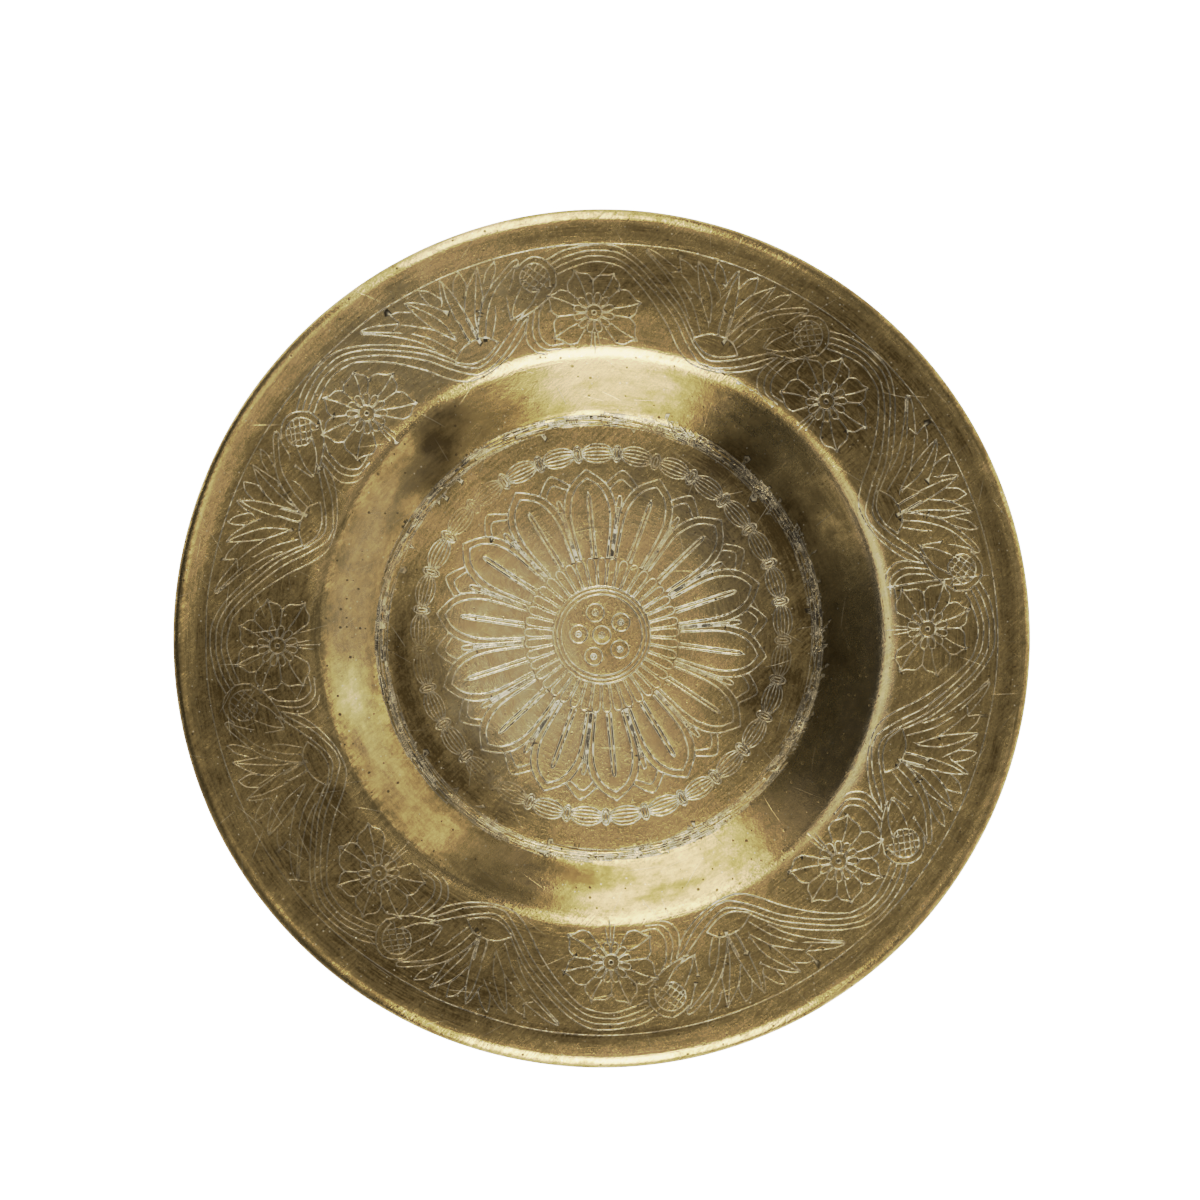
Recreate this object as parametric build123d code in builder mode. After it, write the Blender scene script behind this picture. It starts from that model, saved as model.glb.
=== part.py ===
"""Round brass tray, raised by hand from one sheet: flat floor, shallow well, wide rim, wired edge.

Frame: the origin is the centre of the underside of the floor, +Z is up, lengths are in mm.
Pieces: dish (the raised sheet with its edge turned over) and edge_wire (the hoop inside the edge).
Every section is drawn in the XZ plane, x being the distance from the tray's axis.
"""
from build123d import *
import math
import os

# ---- driving dimensions --------------------------------------------------------------------
outer_radius = 200.0        # to the outside of the rolled edge
sheet = 1.0                 # thickness of the brass
floor_radius = 102.0        # where the flat floor ends and the well wall starts to climb
shoulder_radius = 132.8     # where wall and rim would meet if the corner were sharp
wall_slope = 38.0           # degrees above level
rim_slope = 1.5             # degrees, the rim climbs a little outwards
foot_bend = 7.0             # radius of the upper face between floor and wall
shoulder_bend = 12.0         # radius of the upper face between wall and rim

wire_diameter = 4.0         # hoop that stiffens the edge
wire_clearance = 0.05       # all round the wire, inside the roll
wire_butt_gap = 1.0         # between the two cut ends of the hoop
edge_bend = 7.0             # radius of the upper face where the rim turns down
roll_start = 40.0           # tilt at which the turning edge begins to hug the wire
roll_end = 312.0            # tilt at which the turned sheet stops under the rim

chased_ring_radius = 102.0  # set-down line round the foot of the wall
chased_ring_width = 3.0
chased_ring_depth = 0.3
border_radius = 183.6       # single line that frames the rim's ornament
border_width = 1.0
border_depth = 0.25

# ---- derived places ------------------------------------------------------------------------
roll_inner = wire_diameter / 2 + wire_clearance
roll_outer = roll_inner + sheet


def tilted(centre, radius, tilt):
    """Point on a circle; tilt is 0 at the top and 90 at the side that faces away from the axis."""
    angle = math.radians(tilt)
    return (centre[0] + radius * math.sin(angle), centre[1] + radius * math.cos(angle))


def tilt_arc(centre, radius, first_tilt, last_tilt):
    """Arc of the open outline between two tilts."""
    middle_tilt = (first_tilt + last_tilt) / 2
    ends = (tilted(centre, radius, first_tilt), tilted(centre, radius, last_tilt))
    return ThreePointArc(ends[0], tilted(centre, radius, middle_tilt), ends[1])


def slope_height(run, degrees):
    """Rise over a level run."""
    return run * math.tan(math.radians(degrees))


# foot: the wall's straight stretch is tangent to this circle
foot_centre = (floor_radius, sheet + foot_bend)
foot_tilt = 180.0 - wall_slope

# the sharp corner of floor and wall lies one tangent length outside the floor
corner_radius = floor_radius + foot_bend * math.tan(math.radians(wall_slope / 2))
shoulder_height = sheet + slope_height(shoulder_radius - corner_radius, wall_slope)

# shoulder: tangent to the wall and to the rim
half_turn = math.radians((wall_slope - rim_slope) / 2)
shoulder_tangent = shoulder_bend * math.tan(half_turn)
rim_direction = math.radians(rim_slope)
shoulder_end = (
    shoulder_radius + shoulder_tangent * math.cos(rim_direction),
    shoulder_height + shoulder_tangent * math.sin(rim_direction),
)
shoulder_centre = tilted(shoulder_end, shoulder_bend, 180.0 - rim_slope)

# edge: a wide bend, then the roll round the wire, both tangent
wire_x = outer_radius - roll_outer
bend_to_wire = edge_bend - roll_outer
bend_x = wire_x - bend_to_wire * math.sin(math.radians(roll_start))
bend_start_x = bend_x - edge_bend * math.sin(rim_direction)
bend_start_z = shoulder_height + slope_height(bend_start_x - shoulder_radius, rim_slope)
bend_centre = (bend_x, bend_start_z - edge_bend * math.cos(rim_direction))
wire_centre = tilted(bend_centre, bend_to_wire, roll_start)


# ---- dish: one sheet, its section turned about the axis ------------------------------------
with BuildPart() as dish:
    with BuildSketch(Plane.XZ):
        with BuildLine():
            # upper face, from the middle outwards
            Line((0, sheet), (floor_radius, sheet))
            upper_foot = tilt_arc(foot_centre, foot_bend, 180.0, foot_tilt)
            upper_shoulder = tilt_arc(shoulder_centre, shoulder_bend, -wall_slope, -rim_slope)
            Line(upper_foot @ 1, upper_shoulder @ 0)
            upper_bend = tilt_arc(bend_centre, edge_bend, -rim_slope, roll_start)
            Line(upper_shoulder @ 1, upper_bend @ 0)
            outer_roll = tilt_arc(wire_centre, roll_outer, roll_start, roll_end)
            # back along the lower face
            inner_roll = tilt_arc(wire_centre, roll_inner, roll_end, roll_start)
            Line(outer_roll @ 1, inner_roll @ 0)
            lower_bend = tilt_arc(bend_centre, edge_bend - sheet, roll_start, -rim_slope)
            lower_shoulder = tilt_arc(
                shoulder_centre, shoulder_bend - sheet, -rim_slope, -wall_slope
            )
            Line(lower_bend @ 1, lower_shoulder @ 0)
            lower_foot = tilt_arc(foot_centre, foot_bend + sheet, foot_tilt, 180.0)
            Line(lower_shoulder @ 1, lower_foot @ 0)
            Line(lower_foot @ 1, (0, 0))
            Line((0, 0), (0, sheet))
        make_face()
    revolve(axis=Axis.Z)
    # chased ring in the floor's edge and border line on the rim, both V-shaped cuts
    border_height = shoulder_height + slope_height(border_radius - shoulder_radius, rim_slope)
    with BuildSketch(Plane.XZ):
        for radius, height, width, depth in (
            (chased_ring_radius, sheet, chased_ring_width, chased_ring_depth),
            (border_radius, border_height, border_width, border_depth),
        ):
            with BuildLine():
                Polyline(
                    (radius - width, height + depth),
                    (radius, height - depth),
                    (radius + width, height + depth),
                    close=True,
                )
            make_face()
    revolve(axis=Axis.Z, mode=Mode.SUBTRACT)
dish.part.label = "dish"

# ---- edge_wire: an open hoop lying loose inside the roll -----------------------------------
butt_angle = math.degrees(wire_butt_gap / wire_x)
with BuildPart() as edge_wire:
    with BuildSketch(Plane.XZ):
        with Locations(wire_centre):
            Circle(wire_diameter / 2)
    revolve(axis=Axis.Z, revolution_arc=360.0 - butt_angle)
edge_wire.part.label = "edge_wire"

os.makedirs("parts", exist_ok=True)
export_step(dish.part, "parts/dish.step")
export_step(edge_wire.part, "parts/edge_wire.step")

print("well depth", round(shoulder_height - sheet, 2), "mm")
print("wire centre", [round(value, 3) for value in wire_centre])
print("overall", dish.part.bounding_box())
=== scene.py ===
# %% [markdown]
# # A hand-raised, hand-engraved brass tray
# The real tray is one disc of brass, raised over stakes until it has a flat floor, a shallow well
# and a wide rim, with its edge turned over an iron wire. All its ornament is cut into the surface:
# a lotus on the floor, a ring of beads round it, a chased ring at the foot of the wall, and eight
# repeats of flower, waves, bud and lance-shaped leaves on the rim.
# The lesson draws the ornament as lines, builds a sheet whose points lie along those lines,
# and then lets Geometry Nodes hammer and engrave the sheet. The cuts are real hollows in the mesh.

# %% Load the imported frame
import math
from functools import partial

import bpy
import numpy as np
from mathutils.geometry import delaunay_2d_cdt
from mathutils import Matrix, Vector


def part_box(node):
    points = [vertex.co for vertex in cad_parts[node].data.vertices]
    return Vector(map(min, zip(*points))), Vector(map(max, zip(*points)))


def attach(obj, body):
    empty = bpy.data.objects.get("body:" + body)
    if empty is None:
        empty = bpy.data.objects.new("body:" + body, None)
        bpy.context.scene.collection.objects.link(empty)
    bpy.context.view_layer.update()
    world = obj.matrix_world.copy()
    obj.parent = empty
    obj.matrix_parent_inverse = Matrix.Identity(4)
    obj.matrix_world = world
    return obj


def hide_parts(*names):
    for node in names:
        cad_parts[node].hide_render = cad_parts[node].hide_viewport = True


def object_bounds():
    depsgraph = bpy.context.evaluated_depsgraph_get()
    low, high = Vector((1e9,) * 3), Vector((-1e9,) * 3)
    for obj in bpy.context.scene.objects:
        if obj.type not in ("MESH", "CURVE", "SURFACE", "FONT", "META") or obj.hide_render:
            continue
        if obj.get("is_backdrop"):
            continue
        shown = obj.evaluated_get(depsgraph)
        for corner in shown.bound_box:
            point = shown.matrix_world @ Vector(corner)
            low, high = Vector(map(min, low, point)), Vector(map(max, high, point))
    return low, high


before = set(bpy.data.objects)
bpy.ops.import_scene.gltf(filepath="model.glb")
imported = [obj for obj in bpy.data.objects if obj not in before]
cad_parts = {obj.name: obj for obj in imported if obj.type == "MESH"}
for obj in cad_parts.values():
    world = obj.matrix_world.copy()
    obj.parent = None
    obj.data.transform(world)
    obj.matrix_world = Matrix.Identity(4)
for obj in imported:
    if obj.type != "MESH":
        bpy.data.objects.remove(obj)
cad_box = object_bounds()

lowest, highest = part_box("dish")
print("dish box", [round(v, 4) for v in lowest], [round(v, 4) for v in highest])

# %% [markdown]
# ## Sizes
# The driving sizes are the tray's own, in millimetres, because engravers' sizes read best that way.
# They could be measured from the frame's mesh, but arcs there are already cut into short straight
# facets, and polished metal shows every facet. So the section is drawn again from its radii and
# only its outer size is taken from the frame.

# %% Driving sizes of the section, in millimetres
MM = 0.001
outer_radius = highest.x / MM
sheet = 1.0
floor_radius = 102.0
foot_bend = 7.0
wall_slope = math.radians(38.0)
shoulder_radius = 132.8
shoulder_bend = 12.0
rim_slope = math.radians(1.5)
edge_bend = 7.0
roll_outer = 3.05
roll_start = math.radians(40.0)
roll_end = math.radians(312.0)


def tilted(centre, radius, tilt):
    """Point of a circle in the section; tilt 0 is its top and grows towards the tray's edge."""
    return centre[0] + radius * np.sin(tilt), centre[1] + radius * np.cos(tilt)

# %% Middles of the section's bends
foot_centre = (floor_radius, sheet + foot_bend)
corner_radius = floor_radius + foot_bend * math.tan(wall_slope / 2)
shoulder_height = sheet + (shoulder_radius - corner_radius) * math.tan(wall_slope)
shoulder_tangent = shoulder_bend * math.tan((wall_slope - rim_slope) / 2)
shoulder_end = (
    shoulder_radius + shoulder_tangent * math.cos(rim_slope),
    shoulder_height + shoulder_tangent * math.sin(rim_slope),
)
shoulder_centre = tilted(shoulder_end, shoulder_bend, math.pi - rim_slope)
bend_to_wire = edge_bend - roll_outer
bend_x = outer_radius - roll_outer - bend_to_wire * math.sin(roll_start)
rim_end = bend_x - edge_bend * math.sin(rim_slope)
rim_end_height = shoulder_height + (rim_end - shoulder_radius) * math.tan(rim_slope)
bend_centre = (bend_x, rim_end_height - edge_bend * math.cos(rim_slope))
wire_centre = tilted(bend_centre, bend_to_wire, roll_start)
print("well depth", round(shoulder_height - sheet, 2), "mm, flat rim ends at", round(rim_end, 2))

# %% Height of the sheet over a radius
def face_height(radius, depth):
    """Height of the sheet over a radius; depth 0 is the upper face and depth 1 mm the lower one."""
    foot = foot_bend + depth
    shoulder = shoulder_bend - depth
    wall_start = tilted(foot_centre, foot, math.pi - wall_slope)
    wall_end = tilted(shoulder_centre, shoulder, -wall_slope)
    rim_start = tilted(shoulder_centre, shoulder, -rim_slope)
    along_foot = np.clip(radius - floor_radius, 0.0, foot)
    along_shoulder = np.clip(radius - shoulder_centre[0], -shoulder, shoulder)
    return np.select(
        [radius < floor_radius, radius < wall_start[0], radius < wall_end[0], radius < rim_start[0]],
        [
            np.full_like(radius, sheet - depth),
            foot_centre[1] - np.sqrt(foot**2 - along_foot**2),
            wall_start[1] + (radius - wall_start[0]) * math.tan(wall_slope),
            shoulder_centre[1] + np.sqrt(shoulder**2 - along_shoulder**2),
        ],
        rim_start[1] + (radius - rim_start[0]) * math.tan(rim_slope),
    )

# %% [markdown]
# ## The ornament as lines
# An engraver scribes guide circles, pricks off the repeats, and cuts each motif from a template
# with strokes that swell and fade. One way to copy this is to paint a height picture; another is to
# cut the sheet with thousands of booleans. Lines are simpler and sharper than both: each stroke is
# a smooth curve through a few points, with a width at each end and a depth.

# %% Strokes: smooth lines through a few points
step = 1.1  # mm between neighbouring points of a stroke


def polar(degrees, radius):
    """A place on the tray: degrees clockwise from the top of the design, millimetres from its middle."""
    angle = np.radians(degrees)
    return np.stack([radius * np.sin(angle), radius * np.cos(angle)], axis=-1)


def smooth(points, closed=False):
    """Evenly spaced points on a smooth curve through the given ones."""
    points = np.asarray(points, float)
    if closed:
        padded = np.concatenate([points[-1:], points, points[:2]])
    else:
        padded = np.concatenate([2 * points[:1] - points[1:2], points, 2 * points[-1:] - points[-2:-1]])
    fine = []
    for before, start, end, after in zip(padded, padded[1:], padded[2:], padded[3:]):
        t = np.linspace(0.0, 1.0, 12, endpoint=False)[:, None]
        linear = (end - before) * t
        square = (2 * before - 5 * start + 4 * end - after) * t**2
        cube = (3 * start - before - 3 * end + after) * t**3
        fine.append((2 * start + linear + square + cube) / 2)
    fine.append(points[:1] if closed else points[-1:])
    fine = np.concatenate(fine)
    run = np.concatenate([[0.0], np.cumsum(np.linalg.norm(np.diff(fine, axis=0), axis=1))])
    count = max(int(round(run[-1] / step)), 2)
    even = np.linspace(0.0, run[-1], count + 1)
    return np.stack([np.interp(even, run, fine[:, axis]) for axis in (0, 1)], axis=-1)

# %% A stroke, an oval and a mirrored pair
def stroke(points, width=1.05, end_width=None, depth=0.16, closed=False):
    """One cut of the graver."""
    line = smooth(points, closed)
    widths = np.linspace(width, width if end_width is None else end_width, len(line))
    return {"line": line, "width": widths, "depth": np.full(len(line), depth)}


def ellipse(centre, across, out, turn=0.0, **cut):
    """A closed oval stroke; across and out are its half sizes along and away from the ring."""
    angles = np.linspace(0.0, 2 * math.pi, 12, endpoint=False)
    points = np.stack([across * np.sin(angles), out * np.cos(angles)], axis=-1)
    turned = points @ np.array([[math.cos(turn), -math.sin(turn)], [math.sin(turn), math.cos(turn)]])
    return stroke(np.asarray(centre) + turned, closed=True, **cut)


def both_sides(points, **cut):
    """A stroke and its mirror image about the motif's own axis."""
    points = np.asarray(points, float)
    return [stroke(polar(points[:, 0] * side, points[:, 1]), **cut) for side in (1, -1)]

# %% [markdown]
# ## The lotus
# Fourteen broad petals with a heavy middle vein, fourteen narrow ones peeping out between them, a
# ring of stamens and a seed pod. Only one of each is drawn, upright at the top of the ring, as
# pairs of degrees off its own axis and millimetres from the middle.

# %% Lotus motifs
petals = 14
broad_petal = both_sides(
    [(0, 78.0), (2.5, 75.6), (5, 73.3), (7, 70.9), (8.5, 68.6), (10, 65.3), (11.3, 61.1)], end_width=1.2
)
broad_petal += both_sides([(11.3, 61.1), (12.0, 57.3), (12.15, 50), (12.1, 37.5)], width=1.2, end_width=1.5)
broad_petal += both_sides(
    [(0, 74.0), (2, 72.3), (4, 70.5), (6, 67.4), (7.5, 63.9), (8.8, 59.7), (9.5, 55.4)], end_width=1.5
)
broad_petal += both_sides([(9.5, 55.4), (9.8, 49.3), (9.8, 37.6)], width=1.5, end_width=2.0, depth=0.2)
broad_petal += both_sides(
    [(0.1, 66.6), (0.7, 64.5), (0.85, 60), (0.95, 52), (1.15, 45), (1.5, 37.4)],
    width=1.4, end_width=1.9, depth=0.22,
)
narrow_petal = [
    stroke(polar(*np.transpose(points)), depth=0.14)
    for points in (
        [(-5.9, 71.2), (-3.9, 73.8), (-1.9, 76.3), (0, 77.8), (2.1, 76.1), (4.1, 73.8), (6.2, 71.5)],
        [(-4.3, 68.6), (-2.9, 70.9), (-1.4, 72.8), (0, 73.5), (1.6, 72.3), (4.6, 69.9)],
        [(-1.0, 58.5), (-1.1, 61), (-0.8, 64.8), (0, 66.2), (0.8, 64.8), (1.1, 61), (1.0, 58.5)],
    )
]
narrow_petal.append(stroke(polar(np.array([0, 0, 0]), np.array([60, 50, 37.4])), width=1.0, end_width=1.4))
stamen = [
    stroke(
        polar(
            np.array([-3.2, -3.3, -3.2, -2.2, 0, 2.2, 3.2, 3.3, 3.2]),
            np.array([23.6, 28.0, 33.2, 35.6, 36.3, 35.6, 33.2, 28.0, 23.6]),
        ),
        width=0.95, depth=0.14,
    )
]
seed = [ellipse((0, 10.8), 4.2, 4.2), ellipse((0, 10.8), 1.4, 1.4), ellipse((0, 10.8), 0.4, 0.4, width=0.9)]
pod = [ellipse((0, 0), radius, radius, width=1.1) for radius in (4.2, 1.4, 0.4, 19.0, 21.0, 22.8)]

# %% [markdown]
# ## The bead ring
# Barrel-shaped beads strung between narrow oval knots. Each bead is a few meridians that bow more
# the further they lie from the middle, so it is a loop over one number.

# %% Bead and knot
beads = 29
bead_radius = 85.2
bead_half_length = 4.7
bead_half_height = 4.4
bead = []
for height in (-1.0, -0.62, -0.2, 0.2, 0.62, 1.0):
    angles = np.linspace(-bead_half_length, bead_half_length, 7)
    bow = 1 - 0.55 * np.abs(angles / bead_half_length) ** 2.4
    bead.append(stroke(polar(angles, bead_radius + height * bead_half_height * bow), width=0.9, depth=0.13))
half_pitch = 180 / beads
knot_place = polar(half_pitch, bead_radius)
knot_turn = math.radians(half_pitch)
bead += [
    ellipse(knot_place, 2.0, 4.0, turn=knot_turn, depth=0.18),
    ellipse(knot_place, 0.8, 2.5, turn=knot_turn, depth=0.14),
]

# %% [markdown]
# ## The rim motif
# All eight repeats were traced from one template: flower, bud on its stalk, hooked tendrils, the
# wave band that rolls from one bud to the next, and a fan of lance-shaped leaves over an oval.
# Each line is a few listed points, in degrees from the flower and millimetres from the middle.

# %% Flower on the rim
flower_radius = 151.1
petal_tips = ((238, 22.2), (291, 23.4), (336.5, 21.8), (388.8, 20.4), (440, 22.5), (484.6, 24.1))
petal_valleys = ((210, 16.2), (265, 16.7), (311, 15.3), (360, 14.9), (409.5, 15.8), (460, 16.7), (506, 17.2))
inner_rays = ((172, 15.5), (180, 19.0), (187, 16.5))
loops = 12


def on_flower(degrees, distance):
    """A place on the flower: degrees clockwise from its outward side, millimetres from its eye."""
    return np.array([0.0, flower_radius]) + polar(degrees, distance)


flower = [ellipse((0, flower_radius), size, size, width=0.95) for size in (1.15, 3.6)]
for (tip_angle, tip), (valley_angle, valley), (before_angle, before) in zip(
    petal_tips, petal_valleys[1:], petal_valleys
):
    for side_angle, side in ((before_angle, before), (valley_angle, valley)):
        swing = side_angle - tip_angle
        neck = on_flower(tip_angle + 0.20 * swing, tip - 0.34 * (tip - side))
        cheek = on_flower(tip_angle + 0.68 * swing, tip - 0.56 * (tip - side))
        flower.append(stroke([on_flower(tip_angle, tip), neck, cheek, on_flower(side_angle, side)]))
    vein = [on_flower(tip_angle, 9.6), on_flower(tip_angle + 1.5, 15), on_flower(tip_angle, tip)]
    flower.append(stroke(vein))
for valley_angle, valley in petal_valleys:
    flower.append(stroke([on_flower(valley_angle, valley), on_flower(valley_angle, 9.4)], depth=0.18))
for ray_angle, ray in inner_rays:
    flower.append(stroke([on_flower(ray_angle, 9.8), on_flower(ray_angle, ray)], end_width=0.6, depth=0.12))
for index in range(loops):
    middle_angle = 15 + 360 / loops * index
    arch = [(-10, 4.3), (-12, 7.0), (-8, 8.9), (0, 9.5), (8, 8.9), (12, 7.0), (10, 4.3)]
    flower.append(stroke([on_flower(middle_angle + side, out) for side, out in arch], width=0.9, depth=0.13))

# %% Waves, bud, tendrils, oval and leaves
rim_lines = {
    "wave": [
        [(-6.8, 177.4), (-3.9, 180.9), (0.2, 182.5), (3.6, 181.6), (7.0, 176), (10.7, 167.4),
         (14.5, 158.3), (17.3, 149.6), (18.4, 146)],
        [(-6.2, 175.1), (-4.5, 177.3), (-2, 179.2), (0.2, 179.9), (3.6, 178.9), (7.0, 173.3),
         (10.7, 164.1), (14.5, 155.2), (17.5, 146.2), (19.2, 141.8), (22.2, 138), (25.7, 140.9),
         (29.9, 148.5), (32.7, 154.7)],
        [(-5.8, 172.7), (-4.5, 174.3), (-2, 176.5), (0.2, 177.3), (3.6, 175.9), (7.0, 169.8),
         (10.7, 160.9), (14.1, 152.2), (17.1, 143.1), (20.5, 135.9), (22.2, 135), (24.2, 135.6),
         (28.6, 141.3), (32.1, 150.1), (33.2, 152.2)],
        [(-5, 170.5), (-3.5, 172.2), (0.2, 174.7), (3.6, 173), (5.5, 169.9), (8.9, 161),
         (12.6, 150.1), (15.8, 140), (18.6, 134.6), (21.6, 133.4), (25, 134.6), (28.6, 138.5),
         (31.6, 144.4), (32.5, 147.8)],
    ],
    "bud": [
        [(-11.6, 175.6), (-10.6, 178), (-9, 179.5), (-7.5, 177.9), (-6.5, 174.6), (-5.9, 171), (-6, 165)],
        [(-11.6, 168.4), (-11.5, 172), (-10.7, 175.1), (-9.5, 176.6), (-8.3, 175.9), (-7.4, 173.6),
         (-6.9, 169.7), (-7, 165.6)],
        [(-11.6, 168.4), (-11.1, 166.1), (-10.3, 163.8), (-9, 163.4)],
        [(-14.3, 153.6), (-12.5, 155.1), (-11.3, 156.8), (-10.3, 159.1), (-9.4, 162.2), (-8.9, 163.5)],
        [(-13.4, 152.8), (-11.4, 154.2), (-9.7, 156), (-8.6, 157.8), (-7.7, 159.6), (-6.8, 162.7), (-6, 165)],
    ],
    "tendril": [
        [(-8.6, 156.9), (-9.5, 153.7), (-9.9, 149.6), (-10.2, 145.4), (-10, 141.8), (-9.3, 139),
         (-8.4, 137.5), (-6.2, 137.7)],
        [(-10.4, 153.8), (-11, 149.6), (-11.4, 145.4), (-11.3, 141.6), (-10.6, 138.1), (-9.5, 136.1),
         (-7, 135.4)],
        [(-11.6, 152.2), (-12.3, 148.5), (-12.7, 144.9), (-12.8, 141.3), (-12.2, 138), (-11.3, 135.5),
         (-10.1, 134.4)],
    ],
    "oval": [
        [(18.5, 145.7), (20.5, 149), (22.2, 150.1), (24, 150.1), (25.5, 149.1), (27.1, 145.4)],
        [(18.6, 144.7), (20.5, 141.4), (22, 140.4), (23.7, 140.8), (25.3, 142.4), (27.1, 145.3)],
    ],
    "lances": [
        [(8.3, 181.7), (8, 180.3), (9.6, 175.9), (11.5, 170.7), (14.5, 162), (16.4, 154.5)],
        [(8.4, 180.5), (9.6, 177.4), (12.7, 170.3)],
        [(8.3, 181.7), (10, 179.7), (13.2, 174.2)],
        [(13.1, 179.5), (13.3, 176.9), (13.6, 173.9), (12.6, 173)],
        [(13.1, 179.4), (14.3, 178.5), (15.8, 175.6)],
        [(13.9, 172.2), (15, 169.7), (17.9, 162.7)],
        [(14.5, 166.3), (16.9, 158.9), (19.2, 149)],
        [(15.8, 180.5), (16.2, 175.4), (17.5, 165), (18.6, 159.9), (20.2, 154)],
        [(16, 179.6), (17.1, 175.6), (19.3, 165.6), (20.4, 154.7)],
        [(15.8, 180.5), (17.1, 178.5), (19.2, 173), (20.4, 168.9)],
        [(18.6, 182.3), (18.6, 179), (19, 173.7)],
        [(18.6, 182.3), (19.7, 179.9), (20.9, 174.1), (20.8, 172)],
        [(22, 181.8), (21.5, 179.2), (20.8, 172)],
        [(22.1, 180.5), (21.7, 173.6)],
        [(21.7, 170.7), (21.7, 163)],
        [(22, 181.8), (22.9, 173.3), (23.7, 159.9), (24, 150.2)],
        [(25, 182.1), (23.8, 179.5), (23, 174.6)],
        [(25, 182.1), (25.3, 175.6), (24.7, 171.8), (23.7, 165.3)],
        [(27.8, 181.6), (25.6, 175.1), (24.4, 169.7)],
        [(27.4, 179.5), (26.2, 170.2), (25, 161.4), (24.2, 152.7)],
        [(27.8, 181.6), (27.6, 176.9), (27.2, 167.6)],
        [(30.4, 181.7), (28.9, 178.5), (27.9, 173.6)],
        [(30.4, 181.7), (30.1, 177.2), (28.6, 170.2)],
        [(27, 167.1), (25, 156.8), (24.2, 152.2)],
        [(33.6, 180.1), (32.1, 177.9), (28, 168.9), (25.6, 159.9), (24.1, 152.2)],
        [(33.1, 177.2), (29.3, 168.7), (26.8, 158.9), (25.2, 149.3)],
        [(33.6, 180.1), (33.8, 178.5), (32.9, 175.1), (31.7, 168.1)],
        [(33, 165.7), (31.4, 158.9), (30.7, 154)],
        [(28.4, 159.9), (28, 156.3), (26.5, 148.8)],
        [(30.7, 162.2), (30.5, 157.8), (30.4, 154)],
    ],
    "hatching": [
        [(-11.3, 170.2), (-9.3, 175.9)], [(-11.4, 167.9), (-8.4, 175.6)], [(-10.9, 165.6), (-7.6, 174.1)],
        [(-10.2, 164), (-7.1, 171.8)], [(-9, 163.8), (-7, 168.9)], [(-10.8, 174.1), (-7.4, 164)],
        [(-10.1, 175.9), (-7.1, 167.9)], [(-11.4, 171), (-9, 163.8)],
    ],
    "foot_strokes": [
        [(22, 159.9), (22.1, 154.2), (22.4, 150.1)], [(23.3, 160.7), (23.5, 156.8), (23.8, 149.8)],
    ],
}

# %% Width and depth of each kind of line, and the whole motif
rim_cuts = {
    "wave": (1.15, 0.17), "bud": (1.1, 0.16), "tendril": (1.1, 0.16), "oval": (1.1, 0.16),
    "lances": (1.0, 0.14), "hatching": (0.8, 0.1), "foot_strokes": (1.6, 0.22),
}
rim_motif = list(flower)
for name, lines in rim_lines.items():
    width, depth = rim_cuts[name]
    for line in lines:
        rim_motif.append(stroke(polar(*np.transpose(line)), width=width, depth=depth))
print("rim motif has", len(rim_motif), "strokes")

# %% [markdown]
# ## Repeating a motif round the tray
# On the tray the repeats are never quite alike, because each is cut by hand. Copying the motif in a
# loop would make perfect twins. A Geometry Nodes tree makes the ring instead: it turns copies of
# the motif's lines about the middle and then pushes every point a little by a seeded noise.

# %% Helpers for building node trees
def add_node(tree, kind, **settings):
    """A new node with its plain settings set."""
    new = tree.nodes.new(kind)
    for key, value in settings.items():
        setattr(new, key, value)
    return new


def feed(tree, target, source):
    """Gives an input either a link or a fixed value."""
    if isinstance(source, bpy.types.NodeSocket):
        tree.links.new(source, target)
    else:
        target.default_value = source


def wired(tree, kind, inputs, **settings):
    """A new node with its inputs fed, by name or number; its outputs are returned."""
    new = add_node(tree, kind, **settings)
    for key, source in inputs.items():
        feed(tree, new.inputs[key], source)
    return new.outputs


def combine(tree, operation, *sources, kind="ShaderNodeMath", **settings):
    """The result of a Math or Vector Math node."""
    new = add_node(tree, kind, operation=operation, **settings)
    for target, source in zip(new.inputs, sources):
        feed(tree, target, source)
    return new.outputs["Value"] if operation in ("LENGTH", "DISTANCE", "DOT_PRODUCT") else new.outputs[0]

# %% Sums, ramps and noises
def vectors(tree, operation, *sources):
    """The result of a Vector Math node."""
    return combine(tree, operation, *sources, kind="ShaderNodeVectorMath")


def sums_in(tree):
    """The commonest sums, ready to be used in one tree."""
    operations = ("ADD", "SUBTRACT", "MULTIPLY", "MULTIPLY_ADD", "DIVIDE")
    return [partial(combine, tree, operation) for operation in operations]


def scaled(tree, vector, factor):
    """A vector times a number."""
    inputs = {"Vector": vector, "Scale": factor}
    return wired(tree, "ShaderNodeVectorMath", inputs, operation="SCALE")["Vector"]


def ramp(tree, value, low, high, start=0.0, end=1.0, smooth_step=True):
    """Maps low..high of a value to start..end."""
    inputs = {"Value": value, "From Min": low, "From Max": high, "To Min": start, "To Max": end}
    shape = "SMOOTHSTEP" if smooth_step else "LINEAR"
    return wired(tree, "ShaderNodeMapRange", inputs, interpolation_type=shape)["Result"]


def noise(tree, place, scale, detail=2.0, roughness=0.5, seed=None, distortion=0.0):
    """The outputs of a noise texture: Fac and Color."""
    inputs = {"Vector": place, "Scale": scale, "Detail": detail}
    inputs |= {"Roughness": roughness, "Distortion": distortion}
    if seed is not None:
        inputs["W"] = seed
    return wired(tree, "ShaderNodeTexNoise", inputs, noise_dimensions="3D" if seed is None else "4D")

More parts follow.
